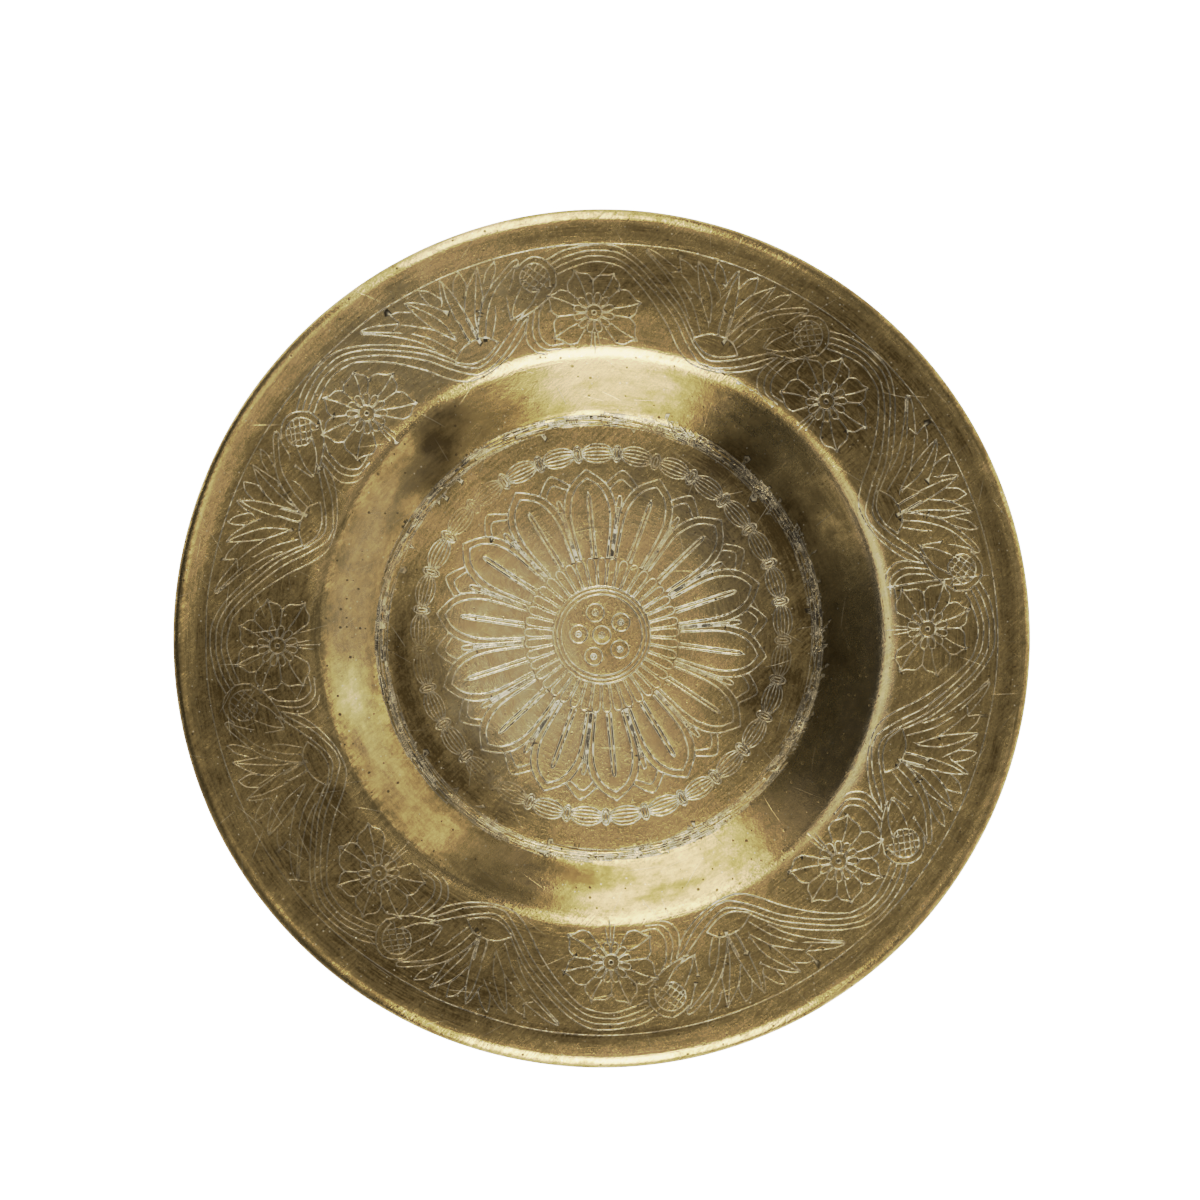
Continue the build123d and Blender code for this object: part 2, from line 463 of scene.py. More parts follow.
# %% A new node group with named inputs
def new_tree(name, kind, inputs, outputs):
    """A node group with named inputs, given as name: (socket type, default)."""
    tree = bpy.data.node_groups.new(name, kind)
    for label, (socket, default) in inputs.items():
        made = tree.interface.new_socket(label, in_out="INPUT", socket_type=socket)
        if default is not None:
            made.default_value = default
    for label, socket in outputs.items():
        tree.interface.new_socket(label, in_out="OUTPUT", socket_type=socket)
    given, wanted = tree.nodes.new("NodeGroupInput"), tree.nodes.new("NodeGroupOutput")
    return tree, given.outputs, wanted.inputs


FLOAT, INTEGER, VECTOR = "NodeSocketFloat", "NodeSocketInt", "NodeSocketVector"
GEOMETRY, OBJECT, MATERIAL = "NodeSocketGeometry", "NodeSocketObject", "NodeSocketMaterial"

# %% The tree that turns one motif into a hand-cut ring
ring_tree, ring_in, ring_out = new_tree(
    "ring_of_cuts",
    "GeometryNodeTree",
    {
        "Motif": (GEOMETRY, None),
        "Repeats": (INTEGER, 8),
        "First": (FLOAT, 0.0),
        "Middle": (VECTOR, (0.0, 0.0, 0.0)),
        "Hand wobble": (FLOAT, 0.0004),
        "Wobble size": (FLOAT, 0.03),
        "Seed": (FLOAT, 1.0),
        "Material": (MATERIAL, None),
    },
    {"Ring": GEOMETRY},
)
add, less, times, times_add, over = sums_in(ring_tree)
index = add_node(ring_tree, "GeometryNodeInputIndex").outputs[0]
pitch = over(2 * math.pi, ring_in["Repeats"])
turn = times_add(index, pitch, ring_in["First"])
turned = wired(ring_tree, "ShaderNodeCombineXYZ", {"Z": times(turn, -1.0)})[0]
places = wired(ring_tree, "GeometryNodePoints", {"Count": ring_in["Repeats"]})[0]
copying = {"Points": places, "Instance": ring_in["Motif"], "Rotation": turned}
copies = wired(ring_tree, "GeometryNodeInstanceOnPoints", copying)[0]
real = wired(ring_tree, "GeometryNodeRealizeInstances", {0: copies})[0]
place = add_node(ring_tree, "GeometryNodeInputPosition").outputs[0]
wobble_scale = over(1.0, ring_in["Wobble size"])
wobble = noise(ring_tree, place, wobble_scale, detail=1.0, seed=ring_in["Seed"])["Color"]
wobble = vectors(ring_tree, "SUBTRACT", wobble, (0.5, 0.5, 0.5))
wobble = vectors(ring_tree, "MULTIPLY", wobble, (2.0, 2.0, 0.0))
push = scaled(ring_tree, wobble, ring_in["Hand wobble"])
moving = {"Geometry": real, "Offset": vectors(ring_tree, "ADD", push, ring_in["Middle"])}
moved = wired(ring_tree, "GeometryNodeSetPosition", moving)[0]
dressing = {"Geometry": moved, "Material": ring_in["Material"]}
feed(ring_tree, ring_out["Ring"], wired(ring_tree, "GeometryNodeSetMaterial", dressing)[0])
print("ring_of_cuts has", len(ring_tree.nodes), "nodes")

# %% Lines to meshes, and meshes through a tree
drawn_width_share = 0.68  # of a stroke's drawn width, what the graver leaves open


def store(mesh, label, values):
    """Stores one number for each point of a mesh."""
    mesh.attributes.new(label, "FLOAT", "POINT").data.foreach_set("value", values)


def point_places(mesh):
    """The places of a mesh's points as an array."""
    places = np.zeros(len(mesh.vertices) * 3, np.float32)
    mesh.vertices.foreach_get("co", places)
    return places.reshape(-1, 3)


def line_mesh(name, strokes):
    """A mesh of bare edges that holds the strokes, with their widths and depths in metres."""
    points, edges, widths, depths = [], [], [], []
    count = 0
    for cut in strokes:
        length = len(cut["line"])
        points.append(cut["line"])
        widths.append(cut["width"] * drawn_width_share)
        depths.append(cut["depth"])
        edges += [(count + i, count + i + 1) for i in range(length - 1)]
        count += length
    flat = np.concatenate(points) * MM
    mesh = bpy.data.meshes.new(name)
    mesh.from_pydata(np.column_stack([flat, np.zeros(len(flat))]).tolist(), edges, [])
    store(mesh, "width", np.concatenate(widths) * MM)
    store(mesh, "depth", np.concatenate(depths) * MM)
    return mesh


def in_scene(name, data):
    """A new object in the scene."""
    made = bpy.data.objects.new(name, data)
    bpy.context.scene.collection.objects.link(made)
    return made


def run_tree(mesh, tree, **values):
    """The mesh that a Geometry Nodes tree makes of this one, as a plain mesh."""
    worker = in_scene(mesh.name, mesh)
    modifier = worker.modifiers.new(tree.name, "NODES")
    modifier.node_group = tree
    sockets = {item.name: item.identifier for item in tree.interface.items_tree if item.in_out == "INPUT"}
    for label, value in values.items():
        modifier[sockets[label.replace("_", " ")]] = value
    graph = bpy.context.evaluated_depsgraph_get()
    result = bpy.data.meshes.new_from_object(worker.evaluated_get(graph))
    bpy.data.objects.remove(worker)
    return result


def read(mesh, label):
    """One number for each point of a mesh as an array."""
    values = np.zeros(len(mesh.vertices), np.float32)
    mesh.attributes[label].data.foreach_get("value", values)
    return values

# %% [markdown]
# ## The chased ring and the plain lines
# The foot of the wall was set down with a blunt chisel walked round the floor, so the ring is a rope
# of long overlapping strokes that never quite meet. Loose strokes with seeded places and lengths
# give that; one perfect groove wouldn't. The border line is a single cut that wanders slightly.

# %% Chased ring, border line, and the lines that were cut once
chance = np.random.default_rng(7)
once = []
chased_radius = 102.0
chased_middle = np.array([-1.0, 0.4])
lanes = (
    # offset from the ring, width, depth, strokes round the tray
    (-2.6, 0.9, 0.12, 26),
    (-1.6, 1.1, 0.18, 30),
    (-0.5, 1.5, 0.34, 30),
    (0.8, 1.8, 0.44, 28),
    (2.0, 1.5, 0.34, 30),
    (3.0, 1.0, 0.16, 24),
)
for offset, width, depth, count in lanes:
    for number in range(count):
        start = 360 / count * (number + chance.uniform(-0.3, 0.3))
        reach = 360 / count * chance.uniform(0.9, 1.7)
        slant = chance.uniform(0.2, 1.5)
        angles = start + np.linspace(0.0, reach, 5)
        radii = chased_radius + offset + chance.uniform(-0.35, 0.35) + np.linspace(slant, -slant, 5) / 2
        once.append(
            stroke(chased_middle + polar(angles, radii), width=width, end_width=width * 0.5, depth=depth)
        )
slips = 95  # places where the chisel slipped up the wall, all on the right-hand side
for number in range(slips):
    start = chance.uniform(12.0, 128.0)
    reach = chance.uniform(1.6, 3.4)
    low = chased_radius - 0.5 + chance.uniform(-2.0, 1.5)
    kick = polar([start, start - reach / 2, start - reach], [low, low + 1.8, low + chance.uniform(3.0, 5.0)])
    once.append(stroke(chased_middle + kick, width=0.9, end_width=0.4, depth=0.14))
scratches = (
    # bearing and distance of each point; width, depth
    ([(79.8, 135.6), (80.0, 155.0), (80.6, 181.0)], 1.5, 0.12),
    ([(19.5, 135.6), (24.0, 136.4), (28.0, 135.4), (32.0, 135.0), (36.0, 134.0)], 0.8, 0.1),
    ([(216.0, 97.5), (217.2, 98.6)], 1.4, 0.12),
)
for points, width, depth in scratches:
    once.append(stroke(polar(*np.transpose(points)), width=width, end_width=width * 0.4, depth=depth))
border_radius = 183.6
border_points = 60
border_angles = np.linspace(0.0, 360.0, border_points, endpoint=False)
wander = np.cumsum(chance.normal(0.0, 0.22, border_points))
wander -= np.linspace(wander[0], wander[-1], border_points)
border = polar(border_angles, border_radius + np.clip(wander, -0.8, 0.8))
once.append(stroke(border, width=1.0, depth=0.17, closed=True))
once_mesh = line_mesh("single_cuts", once)
print("lines cut once:", len(once))

# %% [markdown]
# ## Wear
# Cloths and other dishes wear the high ground of a tray down, and the cuts there grow shallow and
# lose their pale filling. Fading the whole drawing evenly would look printed, so a few zones, each
# a stretch of ring with soft ends, say how much of every cut inside them is gone.

# %% Where the cuts are worn shallow
worn_zones = (
    # bearing, half width in degrees, inner and outer distance, how much is lost
    (95, 8, 80, 91, 0.60),
    (215, 9, 80, 91, 0.70),
    (264, 6, 80, 91, 0.65),
    (315, 10, 80, 91, 0.70),
    (30, 16, 36, 60, 0.45),
    (250, 34, 136, 190, 0.40),
    (0, 14, 138, 172, 0.35),
    (150, 14, 150, 182, 0.35),
)


def mark_worn(mesh):
    """Stores how much of each cut is kept, as an attribute of its points."""
    places = point_places(mesh)
    x, y = places[:, 0] / MM, places[:, 1] / MM
    distance, bearing = np.hypot(x, y), np.degrees(np.arctan2(x, y))
    kept = np.ones(len(x))
    for zone_bearing, half_width, inner, outer, loss in worn_zones:
        swing = np.abs((bearing - zone_bearing + 180) % 360 - 180) / half_width
        breadth = np.abs(distance - (inner + outer) / 2) / (outer - inner) * 2
        kept *= 1 - loss * np.clip(2.2 - 1.6 * np.maximum(swing, breadth * 0.75), 0, 1)
    store(mesh, "kept", kept)

# %% [markdown]
# ## Making the rings
# Each motif goes once through the tree, with its own number of repeats, start angle and seed. The
# lotus and the rim were laid out from slightly different middles, as their guide circles were.

# %% Run the rings
lotus_middle = (0.0, 0.0016, 0.0)
rim_middle = (0.0004, 0.00065, 0.0)
rings = (
    ("broad_petals", broad_petal, petals, -5.3, lotus_middle, 0.35),
    ("narrow_petals", narrow_petal, petals, -5.3 + 180 / petals, lotus_middle, 0.35),
    ("stamens", stamen, 41, 0.0, lotus_middle, 0.35),
    ("seeds", seed, 5, -16.0, lotus_middle, 0.3),
    ("pod", pod, 1, 0.0, lotus_middle, 0.3),
    ("beads", bead, beads, -7.6 + half_pitch, lotus_middle, 0.35),
    ("rim_motifs", rim_motif, 8, -1.5, rim_middle, 0.45),
)
ring_meshes = [once_mesh]
for number, (name, strokes, repeats, first, middle, wobble_mm) in enumerate(rings):
    made = run_tree(
        line_mesh(name, strokes), ring_tree, Repeats=repeats, First=math.radians(first),
        Middle=middle, Hand_wobble=wobble_mm * MM, Seed=float(number),
    )
    ring_meshes.append(made)
    print(name, "has", len(made.vertices), "line points")
for mesh in ring_meshes:
    mark_worn(mesh)

# %% [markdown]
# ## One closed sheet
# A plain grid fine enough for 1 mm cuts over a 400 mm tray would need millions of faces. Instead the
# points of the upper face are laid where they are needed: five rows along every stroke, a loose
# honeycomb everywhere else, and Blender's own Delaunay triangulation joins them. The lower face gets
# the honeycomb only, and the rolled edge is a ring of sections that joins the two.

# %% Gather the strokes and lay points along them
line_places, line_directions, line_widths = [], [], []
for mesh in ring_meshes:
    places = point_places(mesh)[:, :2] / MM
    ends = np.zeros(len(mesh.edges) * 2, np.int32)
    mesh.edges.foreach_get("vertices", ends)
    ends = ends.reshape(-1, 2)
    direction = np.zeros_like(places)
    for column in (0, 1):
        np.add.at(direction, ends[:, column], places[ends[:, 1]] - places[ends[:, 0]])
    line_places.append(places)
    line_directions.append(direction / np.maximum(np.linalg.norm(direction, axis=1, keepdims=True), 1e-6))
    line_widths.append(read(mesh, "width") / MM)
line_places = np.concatenate(line_places)
line_directions = np.concatenate(line_directions)
line_widths = np.concatenate(line_widths)[:, None]
across = np.stack([-line_directions[:, 1], line_directions[:, 0]], axis=-1) * line_widths / 2

# %% Middles of the maker's rings, and loose points
def well_middle(radius):
    """Where the maker's rings are centred: the well was sunk a little off the tray's middle."""
    stops = [0.0, 102.0, 118.0, 133.0, 150.0]
    sideways = np.interp(radius, stops, [-1.0, -1.0, -0.5, 0.0, 0.0])
    upwards = np.interp(radius, stops, [0.4, 0.4, 0.7, 0.9, 0.0])
    return np.stack([sideways, upwards], axis=-1)


def ring_points(radius, spacing):
    """Points round a circle, about one spacing apart."""
    count = int(round(2 * math.pi * radius / spacing))
    return polar(np.linspace(0.0, 360.0, count, endpoint=False), radius)


def honeycomb(reach, spacing):
    """Points of a triangular grid inside a circle."""
    columns = np.arange(-reach, reach, spacing)
    rows = np.arange(-reach, reach, spacing * math.sqrt(3) / 2)
    x, y = np.meshgrid(columns, rows)
    x[1::2] += spacing / 2
    points = np.stack([x.ravel(), y.ravel()], axis=-1)
    return points[np.linalg.norm(points, axis=1) < reach]

# %% Keeping points apart, and joining them
def square_keys(squares):
    """One whole number for each square of a grid; the factor is far wider than the grid."""
    return squares[:, 0] * 1_000_003 + squares[:, 1]


def thin_out(points, gap):
    """Keeps the first point of each small square, so points listed first win."""
    for shift in (0.0, 0.5):
        _, first = np.unique(square_keys(np.floor(points / gap + shift).astype(np.int64)), return_index=True)
        points = points[np.sort(first)]
    return points


def far_from(points, taken, gap):
    """Leaves out points whose neighbourhood is already taken."""
    squares = np.floor(taken / gap).astype(np.int64)
    busy = set()
    for dx in (-1, 0, 1):
        for dy in (-1, 0, 1):
            busy.update(square_keys(squares + (dx, dy)).tolist())
    own = square_keys(np.floor(points / gap).astype(np.int64))
    return points[np.array([key not in busy for key in own.tolist()])]


def triangulate(points):
    """Delaunay triangles over flat points, facing up."""
    places, _, faces, *_ = delaunay_2d_cdt(points.tolist(), [], [], 0, 1e-7)
    faces = np.array(faces, np.int32)
    flat = np.array(places)
    a, b, c = (flat[faces[:, i]] for i in range(3))
    area = (b[:, 0] - a[:, 0]) * (c[:, 1] - a[:, 1]) - (b[:, 1] - a[:, 1]) * (c[:, 0] - a[:, 0])
    faces[area < 0] = faces[area < 0][:, ::-1]
    return flat, faces[np.abs(area) > 1e-9]

# %% Points of both faces, and the triangles between them
edge_count = 600  # points round the rolled edge
upper_spacing, lower_spacing = 2.3, 3.2  # mm between the honeycomb's points
cut_gap, bend_gap, open_gap = 0.17, 0.45, 0.9  # mm that each kind of point keeps free
row_shares = (0.0, 1.05, -1.05, 0.55, -0.55)  # rows beside a stroke, in half widths
edge_ring = polar(np.arange(edge_count) * 360 / edge_count, 1.0)
bend_radii = np.concatenate([np.arange(102.6, 107.5, 0.9), np.arange(128.2, 137.6, 1.0)])
bend_rings = np.concatenate([ring_points(radius, 1.8) + well_middle(radius) for radius in bend_radii])
cut_rows = np.concatenate([line_places + across * share for share in row_shares])
cut_rows = cut_rows[np.linalg.norm(cut_rows, axis=1) < rim_end - 1.0]
upper_points = thin_out(cut_rows, cut_gap)
upper_points = np.concatenate([upper_points, far_from(bend_rings, upper_points, bend_gap)])
loose = far_from(honeycomb(rim_end - 1.2, upper_spacing), upper_points, open_gap)
upper_flat, upper_faces = triangulate(np.concatenate([upper_points, loose, edge_ring * rim_end]))
print("upper face:", len(upper_flat), "points,", len(upper_faces), "triangles")

lower_end = bend_x - (edge_bend - sheet) * math.sin(rim_slope)
loose = far_from(honeycomb(lower_end - 1.8, lower_spacing), bend_rings, open_gap)
lower_flat, lower_faces = triangulate(np.concatenate([bend_rings, loose, edge_ring * lower_end]))
print("lower face:", len(lower_faces), "triangles")

# %% Lift the flat points to the section and close the edge
def lifted(flat, depth):
    """Flat points raised to the section, round the well's own middle."""
    radius = np.linalg.norm(flat, axis=1)
    true_radius = np.linalg.norm(flat - well_middle(radius), axis=1)
    return np.column_stack([flat, face_height(true_radius, depth)])


def section_ring(section):
    """One point of the section, turned round the tray."""
    return np.column_stack([edge_ring * section[0], np.full(edge_count, section[1])])


sections = []
for centre, radius, first, last, count, skipped in (
    # the arc's middle and radius, its first and last tilt, its steps, and the points it shares
    (bend_centre, edge_bend, -rim_slope, roll_start, 8, 1),
    (wire_centre, roll_outer, roll_start, roll_end, 22, 1),
    (wire_centre, roll_outer - sheet, roll_end, roll_start, 14, 0),
    (bend_centre, edge_bend - sheet, roll_start, -rim_slope, 5, 1),
):
    tilts = np.linspace(first, last, count + 1)[skipped:]
    sections += [tilted(centre, radius, tilt) for tilt in tilts]
sections = sections[:-1]

# %% Points and faces of the closed sheet
upper_count, lower_count = len(upper_flat), len(lower_flat)
solid = [lifted(upper_flat, 0.0), lifted(lower_flat, sheet)] + [section_ring(s) for s in sections]
solid = np.concatenate(solid)
first_ring = np.arange(upper_count - edge_count, upper_count)
last_ring = np.arange(upper_count + lower_count - edge_count, upper_count + lower_count)
middle_rings = upper_count + lower_count + np.arange(len(sections) * edge_count).reshape(-1, edge_count)
ladder = np.vstack([first_ring, middle_rings, last_ring])
after = np.roll(ladder, -1, axis=1)
edge_faces = np.stack([ladder[:-1], after[:-1], after[1:], ladder[1:]], axis=-1).reshape(-1, 4)

# %% Which face belongs to which piece
face_radius = np.linalg.norm(upper_flat[upper_faces].mean(axis=1), axis=1)
piece_names = ("engraved_floor", "well_wall", "engraved_rim", "rolled_edge", "underside")
floor_limit, wall_limit = 95.0, 141.0
# Each face's label is the place of its piece in the list of names.
labels = np.concatenate([
    np.where(face_radius < floor_limit, 0, np.where(face_radius < wall_limit, 1, 2)),
    np.full(len(lower_faces), 4),
    np.full(len(edge_faces), 3),
])
faces = upper_faces.tolist() + (lower_faces[:, ::-1] + upper_count).tolist() + edge_faces.tolist()

sheet_mesh = bpy.data.meshes.new("dish_sheet")
sheet_mesh.from_pydata((solid * MM).tolist(), [], faces)
upper_mask = np.concatenate([np.ones(upper_count), np.zeros(len(solid) - upper_count)])
store(sheet_mesh, "upper", upper_mask)
print("closed sheet:", len(solid), "points,", len(faces), "faces")

# %% [markdown]
# ## Hammer and graver
# Raising leaves the sheet gently uneven, planishing leaves it covered in shallow facets, and the
# graver sinks a rounded groove along each stroke. All three are rules about a point's place, so one
# Geometry Nodes tree does them: noises lift the point, and its distance to the nearest stroke,
# compared with that stroke's half width, says how deep it lies in the cut.

# %% The tree that hammers and engraves
work_tree, work_in, work_out = new_tree(
    "hammer_and_engrave",
    "GeometryNodeTree",
    {
        "Sheet": (GEOMETRY, None),
        "Cuts": (OBJECT, None),
        "Raising height": (FLOAT, 0.00030),
        "Raising size": (FLOAT, 0.07),
        "Hammer height": (FLOAT, 0.00010),
        "Hammer size": (FLOAT, 0.016),
        "Planish height": (FLOAT, 0.000022),
        "Planish size": (FLOAT, 0.006),
        "Cut depth": (FLOAT, 1.35),
        "Edge dents": (FLOAT, 0.0003),
        "Wear size": (FLOAT, 0.045),
        "Worn depth": (FLOAT, 0.45),
        "Seed": (FLOAT, 3.0),
        "Material": (MATERIAL, None),
    },
    {"Sheet": GEOMETRY},
)
add, less, times, times_add, over = sums_in(work_tree)
seed_value = work_in["Seed"]
place = add_node(work_tree, "GeometryNodeInputPosition").outputs[0]
flat_place = vectors(work_tree, "MULTIPLY", place, (1.0, 1.0, 0.0))
from_middle = combine(work_tree, "LENGTH", flat_place, kind="ShaderNodeVectorMath")

# %% Unevenness left by raising, hammering and planishing
def lumps(size, height, detail=1.0):
    """Noise of a given size, centred on zero, from -height to height."""
    field = noise(work_tree, flat_place, over(1.0, size), detail, seed=seed_value)["Fac"]
    return times(less(field, 0.5), times(height, 2.0))


raised = lumps(work_in["Raising size"], work_in["Raising height"])
hammered = lumps(work_in["Hammer size"], work_in["Hammer height"])
planished = lumps(work_in["Planish size"], work_in["Planish height"], detail=0.0)
# The wall, in metres from the middle, was planished harder than the rest.
wall_starts = ramp(work_tree, from_middle, 0.103, 0.110)
wall_ends = ramp(work_tree, from_middle, 0.128, 0.134, 1.0, 0.0)
planished = times(planished, times_add(times(wall_starts, wall_ends), 1.5, 1.0))
uneven = add(add(raised, hammered), planished)
# The floor is lifted and the rim lowered a little, so the lumps stay inside the frame's size.
inward = ramp(work_tree, from_middle, 0.110, 0.150, 1.0, -1.3)
uneven = times_add(inward, work_in["Raising height"], uneven)

# %% How deep a point lies in the nearest cut
cut_lines = wired(work_tree, "GeometryNodeObjectInfo", {"Object": work_in["Cuts"]})["Geometry"]
sampling = {0: cut_lines, "Sample Position": flat_place}
nearest_line = wired(work_tree, "GeometryNodeProximity", sampling, target_element="EDGES")
sampling = {"Geometry": cut_lines, "Sample Position": nearest_line["Position"]}
nearest_point = wired(work_tree, "GeometryNodeSampleNearest", sampling, domain="POINT")["Index"]


def named(label):
    """A value that is stored with the points."""
    reader = "GeometryNodeInputNamedAttribute"
    return wired(work_tree, reader, {"Name": label}, data_type="FLOAT")["Attribute"]


def kept_as(geometry, label, value):
    """The geometry with a value stored with its points."""
    inputs = {"Geometry": geometry, "Name": label, "Value": value}
    writer = "GeometryNodeStoreNamedAttribute"
    return wired(work_tree, writer, inputs, data_type="FLOAT", domain="POINT")[0]


def of_cut(label):
    """The named value of the stroke nearest to each point."""
    inputs = {"Geometry": cut_lines, "Value": named(label), "Index": nearest_point}
    return wired(work_tree, "GeometryNodeSampleIndex", inputs, data_type="FLOAT", domain="POINT")["Value"]


half_width = times(of_cut("width"), 0.5)
share = over(nearest_line["Distance"], half_width)
bowl = combine(work_tree, "MAXIMUM", less(1.0, times(share, share)), 0.0)
bowl = combine(work_tree, "POWER", bowl, 1.5)
wear_scale = over(1.0, work_in["Wear size"])
wear_noise = noise(work_tree, flat_place, wear_scale, 2.0, seed=add(seed_value, 5.0))
kept = ramp(work_tree, wear_noise["Fac"], 0.36, 0.55, work_in["Worn depth"], 1.0)
kept = times(kept, of_cut("kept"))
bowl = times(bowl, named("upper"))
full_depth = times(of_cut("depth"), work_in["Cut depth"])
sunk = times(bowl, times(kept, full_depth))
rise = less(uneven, sunk)

# %% Dents of the edge, and the end of the tree
edge_share = ramp(work_tree, from_middle, 0.186, 0.197)
dent = noise(work_tree, flat_place, 22.0, 2.0, seed=add(seed_value, 9.0))["Fac"]
dent = times(times(times(dent, work_in["Edge dents"]), edge_share), -1.0)
outward = vectors(work_tree, "NORMALIZE", flat_place)
lift = wired(work_tree, "ShaderNodeCombineXYZ", {"Z": rise})[0]
offset = vectors(work_tree, "ADD", lift, scaled(work_tree, outward, dent))

marked = kept_as(kept_as(work_in["Sheet"], "cut", bowl), "kept", kept)
worked = wired(work_tree, "GeometryNodeSetPosition", {"Geometry": marked, "Offset": offset})[0]
real = wired(work_tree, "GeometryNodeRealizeInstances", {0: worked})[0]
dressing = {"Geometry": real, "Material": work_in["Material"]}
feed(work_tree, work_out["Sheet"], wired(work_tree, "GeometryNodeSetMaterial", dressing)[0])
print("hammer_and_engrave has", len(work_tree.nodes), "nodes")

# %% Work the sheet and take it apart into its regions
cut_parts = [in_scene(mesh.name, mesh) for mesh in ring_meshes]
cuts_object = cut_parts[0]
joining = {"active_object": cuts_object, "object": cuts_object}
joining |= {"selected_objects": cut_parts, "selected_editable_objects": cut_parts}
with bpy.context.temp_override(**joining):
    bpy.ops.object.join()
worked_mesh = run_tree(sheet_mesh, work_tree, Cuts=cuts_object)
bpy.data.objects.remove(cuts_object)

# %% Out of round, and the normals of the whole sheet
worked_places = point_places(worked_mesh)
radius = np.linalg.norm(worked_places[:, :2], axis=1)
angle = np.arctan2(worked_places[:, 0], worked_places[:, 1])
# How far the outline strays from a circle, as a share of the radius.
out_of_round = 0.0010 * np.cos(2 * angle - 0.47) + 0.0005 * np.cos(3 * angle + 0.26)
out_of_round = out_of_round + 0.0003 * np.cos(5 * angle)
drawn_in = 0.0019  # keeps the widest part of the edge inside the frame's own size
strength = np.clip((radius - 0.150) / 0.040, 0, 1) ** 2  # from nothing at 150 mm to all at 190 mm
worked_places[:, :2] *= (1 + strength * (out_of_round - drawn_in))[:, None]

# The whole sheet's normals, so that the pieces meet without a visible seam.
corners = [face[:3] for face in faces]
corners = np.array(corners + [(face[0], face[2], face[3]) for face in faces if len(face) == 4])
first, second, third = (worked_places[corners[:, i]] for i in range(3))
face_normals = np.cross(second - first, third - first)
worked_normals = np.zeros_like(worked_places)
for column in range(3):
    np.add.at(worked_normals, corners[:, column], face_normals)
worked_normals /= np.linalg.norm(worked_normals, axis=1, keepdims=True)
cut_values = {label: read(worked_mesh, label) for label in ("cut", "kept")}
print("height range", worked_places[:, 2].min() / MM, worked_places[:, 2].max() / MM, "mm")

# %% One region as its own piece
def region(name, label):
    """One region of the sheet as its own piece, shaded as part of the whole."""
    own_faces = [face for face, own in zip(faces, labels) if own == label]
    used = np.unique(np.concatenate([np.asarray(face) for face in own_faces]))
    index = np.zeros(len(worked_places), np.int64)
    index[used] = np.arange(len(used))
    mesh = bpy.data.meshes.new(name)
    mesh.from_pydata(worked_places[used].tolist(), [], [index[list(face)].tolist() for face in own_faces])
    for label_name, values in cut_values.items():
        store(mesh, label_name, values[used])
    mesh.polygons.foreach_set("use_smooth", [True] * len(mesh.polygons))
    mesh.normals_split_custom_set_from_vertices(worked_normals[used].tolist())
    print(name, "has", sum(len(face) - 2 for face in own_faces), "triangles")
    return in_scene(name, mesh)


pieces = [region(name, label) for label, name in enumerate(piece_names)]

# %% [markdown]
# ## Marks of age, as shader groups
# Handled brass shows soft blotches of tarnish, thin random scratches, fine rubbing along one way,
# and small pits that hold dirt. Each is a group with named inputs, so that the brass and the iron
# wire share them with their own sizes.

# %% Placing groups and reading vectors
def use(tree, group, **values):
    """Places a shader group and sets its inputs; its outputs are returned."""
    inputs = {label.replace("_", " "): value for label, value in values.items()}
    return wired(tree, "ShaderNodeGroup", inputs, node_tree=group)


def split_vector(tree, vector):
    """The three parts of a vector."""
    return wired(tree, "ShaderNodeSeparateXYZ", {0: vector})


def join_vector(tree, *parts):
    """A vector from its three parts."""
    return wired(tree, "ShaderNodeCombineXYZ", dict(enumerate(parts)))[0]


def flat_cells(tree, place, scale):
    """A sheet of random cells, and three random numbers for each cell."""
    inputs = {"Vector": place, "Scale": scale}
    cells = wired(tree, "ShaderNodeTexVoronoi", inputs, voronoi_dimensions="2D", feature="F1")
    return cells, wired(tree, "ShaderNodeSeparateColor", {0: cells["Color"]})

# %% [markdown]
# Tarnish gathers in clouds without edges. A noise cut between two levels gives such clouds, and the
# two levels say how much of the metal they cover.

# %% Tarnish blotches
blotch_group, blotch_in, blotch_out = new_tree(
    "tarnish_blotches",
    "ShaderNodeTree",
    {
        "Place": (VECTOR, None),
        "Size": (FLOAT, 0.03),
        "Seed": (FLOAT, 0.0),
        "Low": (FLOAT, 0.35),
        "High": (FLOAT, 0.65),
        "Detail": (FLOAT, 6.0),
        "Roughness": (FLOAT, 0.6),
    },
    {"Mask": FLOAT},
)
blotch_scale = combine(blotch_group, "DIVIDE", 1.0, blotch_in["Size"])
blotch_noise = noise(
    blotch_group, blotch_in["Place"], blotch_scale, blotch_in["Detail"],
    blotch_in["Roughness"], blotch_in["Seed"], 0.3,
)
mask = ramp(blotch_group, blotch_noise["Fac"], blotch_in["Low"], blotch_in["High"])
feed(blotch_group, blotch_out["Mask"], mask)

# %% [markdown]
# A scratch is short, straight and alone. Drawing each by hand would take hundreds of lines, so the
# surface is divided into random cells and each cell may hold one, turned at random.

# %% Random scratches, one to a cell
scratch_group, scratch_in, scratch_out = new_tree(
    "random_scratches",
    "ShaderNodeTree",
    {
        "Place": (VECTOR, None),
        "Cell": (FLOAT, 0.02),
        "Width": (FLOAT, 0.0002),
        "Length": (FLOAT, 0.009),
        "Share": (FLOAT, 0.6),
        "Seed": (FLOAT, 0.0),
    },
    {"Mask": FLOAT},
)
add, less, times, times_add, over = sums_in(scratch_group)
shift = scaled(scratch_group, (1.0, 0.7, 0.0), scratch_in["Seed"])
shifted = vectors(scratch_group, "ADD", scratch_in["Place"], shift)
bent = noise(scratch_group, shifted, 30.0, 1.0)["Color"]
shifted = vectors(scratch_group, "ADD", shifted, scaled(scratch_group, bent, 0.004))
cells, cell_chance = flat_cells(scratch_group, shifted, over(1.0, scratch_in["Cell"]))
heading = times(cell_chance[0], 2 * math.pi)
